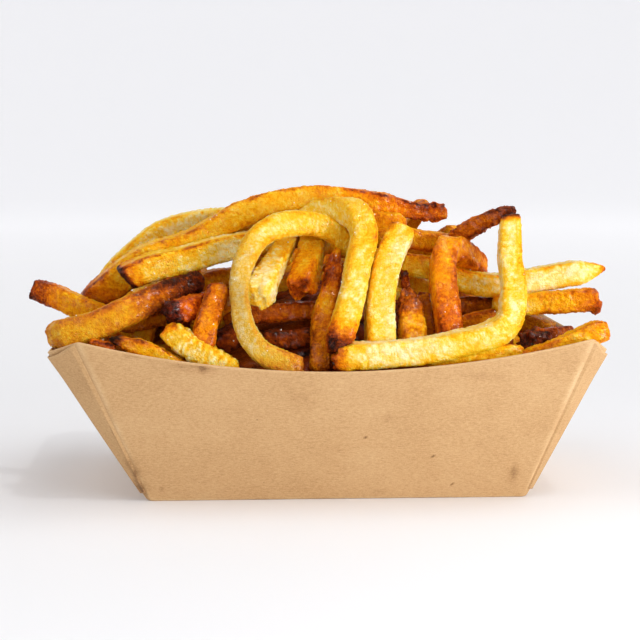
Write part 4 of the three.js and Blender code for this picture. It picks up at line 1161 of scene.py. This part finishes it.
# Painted shade: the core is coloured dark brown for the shade deep in the heap, and the creases between its
# sticks are more toasted still.
core_numbers = {
    "toast": np.clip(0.70 + 0.07 * own + 0.34 * crease + 0.05 * noise(core, 5, 43), 0, 0.95),
    "red": np.clip(0.35 + 0.35 * noise(core, 14, 44), 0, 1), "height": blisters, "soaked": lump * 0}
finish_piece(join_fries("heap_core", [(core, core_numbers)], FRIED["orange"]))

# %% [markdown]
# ## Salt
#
# A few grains of salt cling to the skin. A grain is a cube of about a quarter of a millimetre,
# turned at random and about half sunk, on the upper and front sides of the fries that show.

# %% Salt material
salt, tree, shader = new_material("salt")
cloudy = ramp_node(tree, noise_node(tree, object_place(tree), 1800, 2.0),
                   [(0.3, (246, 238, 214)), (0.7, (255, 254, 250))])
tree.links.new(cloudy, shader.inputs["Base Color"])
shader.inputs["Roughness"].default_value = 0.25
print("material", salt.name)

# %% Scatter the grains
GRAINS = 110
GRAIN_SIZE = (0.18, 0.36)
END_ROWS = 4                    # rows at each end of a fry that get no salt


def turned_cubes(middles, sizes, draw):
    """Points of cubes with random turns: three random vectors made square to each other are the
    edges, and the eight corners are the middle plus or minus half of each."""
    first, second = draw.normal(size=(2, len(middles), 3))
    first /= np.linalg.norm(first, axis=1, keepdims=True)
    third = np.cross(first, second)
    third /= np.linalg.norm(third, axis=1, keepdims=True)
    second = np.cross(third, first)
    signs = np.array(list(np.ndindex(2, 2, 2))) * 2 - 1
    frame_axes = np.stack([first, second, third], axis=1)
    return middles[:, None] + (signs @ frame_axes) * sizes[:, None, None] / 2


draw = np.random.default_rng(11)
grids = [grid for kind in shown.values() for grid, _ in kind]
skin = np.concatenate([grid[END_ROWS:-END_ROWS].reshape(-1, 3) for grid in grids])
out = np.concatenate([
    grid_normals(grid, grid.mean(axis=1))[END_ROWS:-END_ROWS].reshape(-1, 3) for grid in grids])
facing = np.flatnonzero((out[:, 2] > 0.25) | ((out[:, 1] < -0.6) & (out[:, 2] > -0.1)))
spots = facing[draw.integers(0, len(facing), GRAINS)]
sizes = draw.uniform(*GRAIN_SIZE, GRAINS)
grains = turned_cubes(skin[spots] + out[spots] * sizes[:, None] * 0.15, sizes, draw)
cube = np.array([[0, 1, 3, 2], [4, 6, 7, 5], [0, 4, 5, 1], [2, 3, 7, 6], [0, 2, 6, 4], [1, 5, 7, 3]])
cubes = (cube[None] + np.arange(GRAINS)[:, None, None] * 8).reshape(-1, 4)
salt_piece = new_object("salt_grains", grains.reshape(-1, 3), cubes, np.empty((0, 3), int), {}, salt)
salt_piece.data.shade_flat()
finish_piece(salt_piece)

# %% [markdown]
# ## Kraft board
#
# Unbleached kraft board is a warm, even brown. Close up it is a felt of short fibres lying mostly
# along the sheet, with a few dark bits of bark, and oil from the food darkens it in faint
# smudges. The fibres are noise that has been stretched along the tray. Smudges, the open slit and
# the lighter fold lines come from numbers stored on the mesh. The slit is coloured near black, as
# painted shade, and the folds are lighter partly from wear and partly as painted highlight.

# %% The board group
board, inside, outside = new_group(
    "kraft_fibres", ("Smudge", "Slit", "Worn"),
    (("Color", "NodeSocketColor"), ("Roughness", "NodeSocketFloat"), ("Felt", "NodeSocketFloat")))
place = object_place(board)
stretch = board.nodes.new("ShaderNodeMapping")
stretch.inputs["Scale"].default_value = (0.30, 1.0, 1.0)
board.links.new(place, stretch.inputs["Vector"])
fibres = noise_node(board, stretch.outputs["Vector"], 2600, 2.0, 0.6)
clouds = noise_node(board, place, 60, 4.0, 0.55)
felt = noise_node(board, place, 2600, 1.0, 0.6)
bark = noise_node(board, place, 900, 1.0, 0.4)
tone = 0.5
for pattern, strength in ((clouds, 0.30), (fibres, 0.55), (felt, 0.35)):
    tone = times_plus(board, less_half(board, pattern), strength, tone)
# Painted highlight in part: folds, the foot and the rim edge are made lighter, partly as wear and partly as
# the highlight they catch.
tone = times_plus(board, inside.outputs["Worn"], 0.28, tone)
tone = times_plus(board, inside.outputs["Smudge"], -0.5, tone, clamp=True)
colour = ramp_node(board, tone, [
    (0.0, (126, 90, 55)), (0.3, (175, 135, 90)), (0.5, (194, 154, 107)), (0.72, (206, 169, 123)),
    (1.0, (222, 192, 149))])
specks = times_plus(board, bark, 12.0, -9.6, clamp=True)
colour = mix_node(board, specks, colour, light_of(120, 84, 54))
# Painted shade: the open slit is coloured near black for the shade inside it.
colour = mix_node(board, inside.outputs["Slit"], colour, light_of(46, 28, 18))
rough = times_plus(board, inside.outputs["Smudge"], -0.25, 0.82)
for socket, result in zip(outside.inputs, (colour, rough, math_node(board, "ADD", fibres, felt))):
    board.links.new(result, socket)
print("group", board.name, "with", len(board.nodes), "nodes")

# %% The board material
kraft, tree, shader = new_material("kraft_board")
placed_group(tree, shader, board, ("Smudge", "Slit", "Worn"), "Felt", 0.06, 0.5)
shader.inputs["Specular IOR Level"].default_value = 0.3
print("material", kraft.name)

# %% [markdown]
# ## The folded tray
#
# The tray is one sheet: a base, four leaning walls, and at each corner a web that turns round the
# bevel and is glued flat on the outside of the end wall. The wall is a closed grid that goes
# from the middle of the underside, up the outside, over the rim and down the inside. Its columns
# run round the tray, and at each fold the straight line is replaced by a short curve, because
# board never folds to a knife edge.

# %% Columns round the tray
FOLD = {"foot": 0.5, "head": 1.5}       # half-width of the curve at a fold, low and high
PANEL_COLUMNS = {"long": 150, "end": 64, "corner": 12}


def long_rim(x):
    """Height of a long wall's rim: a parabola from the dip in the middle to the two peaks."""
    middle, half = (PEAK["left"] + PEAK["right"]) / 2, (PEAK["right"] - PEAK["left"]) / 2
    return RIM_DIP + (PEAK["height"] - RIM_DIP) * ((x - middle) / half) ** 2


def long_column(share, side):
    """Foot and head of a long wall's column at a share of the way from left to right."""
    share = np.asarray(share, float)
    inset = BASE["half_length"] - BASE["chamfer"]
    foot_x = -inset + 2 * inset * share
    head_x = PEAK["left"] + (PEAK["right"] - PEAK["left"]) * share
    height = long_rim(head_x)
    foot = np.stack([foot_x, np.full_like(share, side * BASE["half_width"]), np.zeros_like(share)], -1)
    return foot, np.stack([head_x, side * long_wall_y(height), height], -1)


def end_column(share, end):
    """Foot and head of an end wall's column at a share of the way from front to back."""
    share = np.asarray(share, float) * 2 - 1
    sign = math.copysign(1, end["x"])
    narrow = BASE["half_width"] - BASE["chamfer"]
    one = np.ones_like(share)
    foot = np.stack([sign * BASE["half_length"] * one, share * narrow, 0 * one], -1)
    return foot, np.stack([end["x"] * one, share * end["half_width"], end["height"] * one], -1)


def fold_curve(before, corner, after, count=5):
    """Points of the curve that replaces a fold: (1-t)^2, 2t(1-t) and t^2 times its three points,
    or three rows of points."""
    t = np.linspace(0, 1, count).reshape(-1, *[1] * before.ndim)
    return (1 - t) ** 2 * before + 2 * t * (1 - t) * corner + t ** 2 * after


def panel_columns(column, start, stop, count):
    """One panel's columns, short of its folds by the fold's half-width at foot and head."""
    feet, heads = column(np.linspace(start, stop, 3))
    spans = [np.linalg.norm(line[-1] - line[0]) for line in (feet, heads)]
    even = np.linspace(0, 1, count)
    foot_share = FOLD["foot"] / spans[0] + (1 - 2 * FOLD["foot"] / spans[0]) * even
    head_share = FOLD["head"] / spans[1] + (1 - 2 * FOLD["head"] / spans[1]) * even
    foot = column(start + (stop - start) * foot_share)[0]
    head = column(start + (stop - start) * head_share)[1]
    return foot, head


def between(first, second):
    """A flat panel between two columns, each a (foot, head) pair, as a function of share."""
    def column(share):
        share = np.asarray(share, float)[:, None]
        return tuple(a + (b - a) * share for a, b in zip(first, second))
    return column


def column_at(column, share):
    """A panel's one column at a share of its way: its foot and its head."""
    return tuple(line[0] for line in column(np.array([float(share)])))


def loop_columns():
    """Feet, heads and fold wear-and-highlight of all columns, anticlockwise from above: eight
    panels, which are the four walls and the bevels between them, with a curve at each fold."""
    walls = [
        (lambda share: long_column(share, -1), 0, 1, "long"),
        (lambda share: end_column(share, RIGHT_END), 0, 1, "end"),
        (lambda share: long_column(share, 1), 1, 0, "long"),
        (lambda share: end_column(share, LEFT_END), 1, 0, "end")]
    order = []
    for wall, (following, first, _, _) in zip(walls, walls[1:] + walls[:1]):
        bevel = between(column_at(wall[0], wall[2]), column_at(following, first))
        order += [wall, (bevel, 0, 1, "corner")]
    panels = [panel_columns(f, a, b, PANEL_COLUMNS[kind]) for f, a, b, kind in order]
    feet, heads, wear = [], [], []
    for index, (foot, head) in enumerate(panels):
        column, _, stop, _ = order[index]
        corner_foot, corner_head = column_at(column, stop)
        next_foot, next_head = panels[(index + 1) % len(panels)]
        feet += [foot, fold_curve(foot[-1], corner_foot, next_foot[0])[1:-1]]
        heads += [head, fold_curve(head[-1], corner_head, next_head[0])[1:-1]]
        wear += [np.zeros(len(foot)), np.array([0.7, 1.0, 0.7])]
        wear[-2][[0, -1]] = 0.35
    return np.concatenate(feet), np.concatenate(heads), np.concatenate(wear)


feet, heads, fold_wear = loop_columns()
print(len(feet), "columns round the tray")

# %% [markdown]
# The wall surface is a straight line from foot to head at each column, pushed out a little where
# the load inside bows the panels. The inside is the same surface one board's thickness in.

# %% Wall surface
WALL_ROWS = 58
FOOT_ROUND = 0.9                # how far the fold round the base reaches up and in
BOW = {"long": 0.9, "end": 0.6, "wave": 0.22}       # mm that the panels bow out and waver
BOW_HALF = {"long": 84.0, "end": 52.0}              # mm from a panel's middle to where it is flat


def bow_up(share):
    """How the bow grows up a wall: the sine of half a turn times the share, to the power 1.2."""
    return np.sin(math.pi * share) ** 1.2


def bow_along(points, axis, panel):
    """How it grows along a panel: one less the square of the share of the way to its flat ends."""
    return np.maximum(0, 1 - (points[..., axis] / BOW_HALF[panel]) ** 2)


def wave(points, share):
    """The board's slow unevenness, which grows towards the rim."""
    return BOW["wave"] * noise(points, 34, 51) * share


start_share = FOOT_ROUND / heads[:, 2]
up = np.linspace(0, 1, WALL_ROWS)[:, None]
share_up = start_share + (1 - start_share) * up
wall = feet + (heads - feet) * share_up[..., None]
wall_out = grid_normals(wall)
bow = bow_up(share_up) * (BOW["long"] * np.abs(wall_out[..., 1]) ** 6 * bow_along(wall, 0, "long")
                          + BOW["end"] * np.abs(wall_out[..., 0]) ** 6 * bow_along(wall, 1, "end"))
wall = wall + wall_out * (bow + wave(wall, share_up))[..., None]
wall_out = grid_normals(wall)
print("panels bow out by up to", round(float(bow.max()), 2), "mm")


# %% Closed grid of the tray
RIM_ROUND = {"down": 0.12, "in": 0.1}       # mm by which the rim's two edges are taken off


def level_rings(outline, shares, z):
    """Rings of a flat floor: the outline shrunk towards the middle, at one height."""
    rings = outline[None] * np.asarray(shares)[:, None, None]
    rings[..., 2] = z
    return rings


def round_foot(first_wall, floor_z):
    """The fold between a floor and a wall: a curve from the wall's first row to the floor."""
    lean = first_wall - feet
    corner = feet + lean * ((floor_z - feet[:, 2]) / np.maximum(lean[:, 2], 1e-9))[:, None]
    corner[:, 2] = floor_z
    plan = corner[:, :2] / np.linalg.norm(corner[:, :2], axis=1, keepdims=True)
    inner = corner.copy()
    inner[:, :2] -= plan * FOOT_ROUND
    return fold_curve(inner, corner, first_wall)


inside_wall = wall - wall_out * BOARD
drop = (heads - feet) * (RIM_ROUND["down"] / heads[:, 2])[:, None]
slide = wall_out[-1] * RIM_ROUND["in"]
rim = np.stack([wall[-1] - drop, wall[-1] - slide, inside_wall[-1] + slide, inside_wall[-1] - drop])
outer_foot = round_foot(wall[0], 0.0)
inner_rows = inside_wall[-2::-2]
inner_start = inner_rows[-1] + (inner_rows[-2] - inner_rows[-1]) * 0.5
inner_foot = round_foot(inner_start, BOARD)
floor_shares = [0, 0.35, 0.7, 0.93]
tray_rows = [level_rings(outer_foot[0], floor_shares, 0.0), outer_foot[:-1], wall[:-1], rim,
             inner_rows[:-1], inner_foot[::-1], level_rings(inner_foot[0], floor_shares[::-1], BOARD)]
row_kinds = np.repeat(["under", "foot", "out", "rim", "in", "fold", "floor"],
                      [len(r) for r in tray_rows])
tray_grid = np.concatenate(tray_rows)
print("tray grid", tray_grid.shape[:2], "lowest", tray_grid[..., 2].min())

# %% [markdown]
# Marks come next. The front has a few faint smudges near its rim and its lower corners, and some
# specks. The other outsides have faint spots below the rim, and every inside face has taken up oil
# in patches.

# %% Smudges
SMUDGES = [
    # x, z, half-width, half-height in mm, strength
    (-47.4, 46.4, 4.5, 1.3, 0.75), (-42.5, 45.6, 3.5, 1.3, 0.7), (-63.0, 50.0, 4.5, 1.0, 0.45),
    (45.0, 42.5, 8.0, 1.5, 0.25), (56.3, 9.0, 1.8, 3.2, 0.8), (-65.4, 9.0, 1.6, 3.6, 0.85),
    (-63.4, 4.4, 1.7, 2.4, 0.8), (-67.4, 14.0, 1.3, 2.6, 0.6), (-57.0, 4.3, 0.9, 0.9, 0.5),
    (16.0, 28.5, 3.6, 1.6, 0.22), (13.6, 2.6, 2.6, 0.9, 0.3), (-12.0, 36.0, 6.0, 2.2, 0.12)]
SPECKS = [
    # x, z, radius in mm
    (45.6, 4.2, 0.34), (51.7, 31.9, 0.42), (37.0, 5.0, 0.3), (-61.5, 24.0, 0.3),
    (-56.9, 5.0, 0.3), (-20.0, 12.0, 0.26), (8.0, 22.0, 0.24), (30.0, 15.0, 0.24)]
FRONT = -35.0                   # the front wall lies wholly before this y


def smudge_at(points):
    """Sum of soft spots on the front, each the bell curve of its distance in half-widths and
    half-heights, broken up by noise."""
    x, y, z = np.moveaxis(points, -1, 0)
    total = np.zeros_like(x)
    for cx, cz, wide, tall, strength in SMUDGES:
        total += strength * np.exp(-((x - cx) / wide) ** 2 - ((z - cz) / tall) ** 2)
    total *= 0.75 + 0.7 * noise(points, 2.4, 52)
    for cx, cz, size in SPECKS:
        total += 1.3 * (np.hypot(x - cx, z - cz) < size)
    return np.where(y < FRONT, np.maximum(total, 0), 0)


x, y, z = np.moveaxis(tray_grid, -1, 0)
smudge = smudge_at(tray_grid) * (row_kinds == "out")[:, None]
oil = 0.75 * ease(0.0, 0.6, noise(tray_grid, 13, 53) + 0.15)
smudge = smudge + oil * np.isin(row_kinds, ["in", "fold", "floor"])[:, None]
elsewhere = 0.35 * ease(0.25, 0.7, noise(tray_grid, 9, 54)) * ease(0.55, 1, z / 50) * (y > FRONT)
smudge = smudge + elsewhere * (row_kinds == "out")[:, None]
# Painted highlight in part: the folds, the foot fold and the rim edge are lighter, partly as fold wear and
# partly as the highlight that they catch.
worn = fold_wear[None] * np.isin(row_kinds, ["out", "rim"])[:, None]
worn = np.maximum(worn, 0.8 * np.isin(row_kinds, ["foot"])[:, None] + 0.45 * (row_kinds == "rim")[:, None])
worn = worn * (0.75 + 0.5 * noise(tray_grid, 5, 55))
print("smudged share of the grid:", round(float((smudge > 0.3).mean()), 3))

# %% [markdown]
# ## The glued corner webs
#
# Each web starts just past the fold of the long wall, turns round the bevel and ends in a slanted
# free edge on the end wall. It stands a board's thickness proud and lifts a little at the rim,
# where a dark line shows between the layers. Beside the fold at the left front the board has
# split: a slit about 11 mm long.

# %% Build a web
WEB = {"reach": 27.0, "foot": 3.0, "thickness": 0.45, "proud": 0.62, "lift": 0.3, "below": 1.0,
       "low": 0.06, "rows": 64}
WEB_SHARES = {"bevel": (0.13, 0.86, 22), "flat": (0.06, 1, 30)}     # from, to and columns
WEB_FOLD = (0.87, 0.05)         # shares of bevel and flat between which the web turns
SLIT = {"place": 0.285, "width": 0.020, "low": 0.285, "high": 0.505, "depth": 0.42}
SLIT_COLUMNS = np.array([-2, -1, -0.6, -0.25, 0, 0.25, 0.6, 1, 2])  # in widths from its middle


def web_columns(end, side):
    """Feet and heads of a web's columns from the long wall's fold to the free edge, how far each
    is along the bevel, and the share of the wall's height at which each stops."""
    sign = math.copysign(1, end["x"])
    foot_peak, head_peak = long_column(np.array([0.0 if sign < 0 else 1.0]), side)
    foot_end, head_end = end_column(np.array([(side + 1) / 2]), end)
    free_foot = foot_end - np.array([0, side * WEB["foot"], 0])
    free_head = head_end - np.array([0, side * WEB["reach"], 0])
    near = SLIT["place"] + SLIT["width"] * SLIT_COLUMNS
    bevel = np.sort(np.concatenate([np.linspace(*WEB_SHARES["bevel"]), near]))[:, None]
    flat = np.linspace(*WEB_SHARES["flat"])[:, None]
    lines = []
    for three in ((foot_peak, foot_end, free_foot), (head_peak, head_end, free_head)):
        peak, corner, free = (points[0] for points in three)
        before, after = peak + (corner - peak) * WEB_FOLD[0], corner + (free - corner) * WEB_FOLD[1]
        turned = fold_curve(before, corner, after, 7)
        lines.append(np.concatenate([
            peak + (corner - peak) * bevel, turned, corner + (free - corner) * flat]))
    along = np.concatenate([bevel[:, 0], np.ones(len(turned) + len(flat))])
    below = WEB["below"] * ease(0.1, 0.8, along) + 0.15
    return *lines, along, 1 - below / end["height"]


def corner_web(end, side):
    """The outer and inner grid of a web, rows going up, and how open the slit is at each point.
    Both grids are the wall's plane moved along its normal: the outer one by how far the web stands
    proud, the inner one a thickness less."""
    foot, head, along, high = web_columns(end, side)
    if math.copysign(1, end["x"]) * side > 0:
        foot, head, along, high = foot[::-1], head[::-1], along[::-1], high[::-1]
    t = np.linspace(0, 1, WEB["rows"])[:, None]
    share = WEB["low"] + (high - WEB["low"]) * t
    plane = foot + (head - foot) * share[..., None]
    out = np.cross(np.gradient(plane, axis=1), np.gradient(plane, axis=0))
    out /= np.linalg.norm(out, axis=-1, keepdims=True)
    bowed = bow_up(share) * BOW["end"] * bow_along(plane, 1, "end")
    bowed = bowed * np.abs(out[..., 0]) ** 6 + wave(plane, share)
    proud = WEB["proud"] * ease(0.13, 0.26, along) + WEB["lift"] * ease(0.8, 1, share) * ease(0.2, 0.6, along)
    torn = np.zeros_like(proud)
    if end is LEFT_END and side < 0:
        torn = np.clip(1.4 - np.abs(along - SLIT["place"]) / (SLIT["width"] * 0.5), 0, 1)
        torn = torn * ease(SLIT["low"], SLIT["low"] + 0.03, share) * (
            1 - ease(SLIT["high"] - 0.03, SLIT["high"], share))
    outer = plane + out * (bowed + proud - torn * SLIT["depth"])[..., None]
    inner = plane + out * (bowed + proud - WEB["thickness"] - 0.02)[..., None]
    return outer, inner, torn


# %% Join tray and webs
tray_points, tray_shape = closed_points(tray_grid)
quads, fans = closed_faces(*tray_shape)
points, quad_lists = [tray_points], [quads]
numbers = {key: [closed_points(value)[0]] for key, value in (
    ("smudge", smudge), ("slit", np.zeros_like(worn)), ("worn", worn))}
offset = len(tray_points)
for end in (LEFT_END, RIGHT_END):
    for side in (-1, 1):
        outer, inner, torn = corner_web(end, side)
        quad_lists.append(slab_faces(*outer.shape[:2], offset))
        points += [outer.reshape(-1, 3), inner.reshape(-1, 3)]
        # The web's edges are made lighter, partly as wear and partly as painted highlight.
        edge = np.zeros_like(torn)
        edge[[0, -1]], edge[:, [0, -1]] = 0.5, 0.3
        numbers["smudge"] += [smudge_at(outer).reshape(-1), np.full(inner[..., 0].size, 0.2)]
        numbers["slit"] += [torn.reshape(-1), np.zeros(torn.size)]
        numbers["worn"] += [edge.reshape(-1), np.zeros(edge.size)]
        offset += 2 * outer[..., 0].size
joined = {key: np.concatenate(value) for key, value in numbers.items()}
tray = new_object("kraft_tray", np.concatenate(points), np.concatenate(quad_lists), fans, joined, kraft)
finish_piece(tray, "tray")

# %% [markdown]
# ## Floor and light
#
# The tray stands on white, in a round cove whose floor curves up into its wall, so no horizon
# shows from any side. The cove glows a little, least round the tray and more with distance, as a
# backdrop with lamps of its own does. A large soft light at the upper right casts the broad shadow
# that falls to the left, and a weaker one at the left softens it. A low one in front brings the
# board up towards the right, a small one puts glints on the oily skin, and a pale surround fills
# in the rest.

# %% The cove
COVE = {"floor": 2600.0, "curve": 2400.0, "top": 3200.0}
GLOW = {"start": 0.25, "full": 1.8, "near": 0.06, "far": 0.33}      # metres, and emission at them
COVE_COLUMNS = 96
turn = np.linspace(0, math.pi / 2, 24)
profile_r = np.concatenate([[1, 300, 700, 1100], COVE["floor"] + COVE["curve"] * np.sin(turn)])
profile_z = np.concatenate([[0, 0, 0, 0], COVE["curve"] * (1 - np.cos(turn))])
profile_r, profile_z = np.append(profile_r, profile_r[-1]), np.append(profile_z, COVE["top"])
around = np.arange(COVE_COLUMNS) * 2 * math.pi / COVE_COLUMNS
cove_rings = np.stack([
    profile_r[:, None] * np.cos(around), profile_r[:, None] * np.sin(around),
    profile_z[:, None] + 0 * around], -1)
cove_points = np.concatenate([[[0, 0, 0]], cove_rings.reshape(-1, 3)])
cove_quads, cove_fans = closed_faces(*cove_rings.shape[:2])

white, tree, shader = new_material("white_cove")
set_inputs(shader, {"Base Color": (0.78, 0.78, 0.79, 1), "Roughness": 0.9,
                    "Emission Color": (0.97, 0.97, 1, 1)})
far = tree.nodes.new("ShaderNodeVectorMath")
far.operation = "LENGTH"
tree.links.new(object_place(tree), far.inputs[0])
glow = tree.nodes.new("ShaderNodeMapRange")
set_inputs(glow, {"From Min": GLOW["start"], "From Max": GLOW["full"], "To Min": GLOW["near"],
                  "To Max": GLOW["far"]})
tree.links.new(far.outputs["Value"], glow.inputs["Value"])
tree.links.new(glow.outputs["Result"], shader.inputs["Emission Strength"])
cove = new_object(
    "cove", cove_points, cove_quads[:, ::-1], cove_fans[:COVE_COLUMNS, ::-1], {}, white)

# %% Lights
LIGHTS = {
    # name: (place in mm, width in metres, power in watts, colour)
    "key": ((1500.0, -300.0, 2350.0), 3.1, 38.0, (1.0, 0.99, 0.98)),
    "left": ((-1100.0, -350.0, 1500.0), 1.6, 7.0, (1, 1, 1)),
    "fill": ((300.0, -340.0, 50.0), 0.25, 1.7, (0.96, 0.98, 1.0)),
    "spark": ((500.0, -1000.0, 1900.0), 0.08, 4.5, (1, 1, 1)),
}
TARGET = (0, 0, 45)             # inside the heap, in mm
SURROUND = 0.42


def area_light(name, place, width, power, colour):
    """A square area light aimed at the heap: its own -Z axis turned towards the target."""
    data = bpy.data.lights.new(name, "AREA")
    data.size, data.energy, data.color = width, power, colour
    light = bpy.data.objects.new(name, data)
    light.location = Vector(place) * MM
    light.rotation_euler = (Vector(TARGET) * MM - light.location).to_track_quat("-Z", "Y").to_euler()
    bpy.context.scene.collection.objects.link(light)


for name, numbers in LIGHTS.items():
    area_light(name, *numbers)
world = bpy.data.worlds.new("surround")
world.use_nodes = True
set_inputs(world.node_tree.nodes["Background"], {"Color": (0.98, 0.98, 1.0, 1), "Strength": SURROUND})
bpy.context.scene.world = world
bpy.context.scene.view_settings.view_transform = "Standard"
print("lights:", LIGHTS)
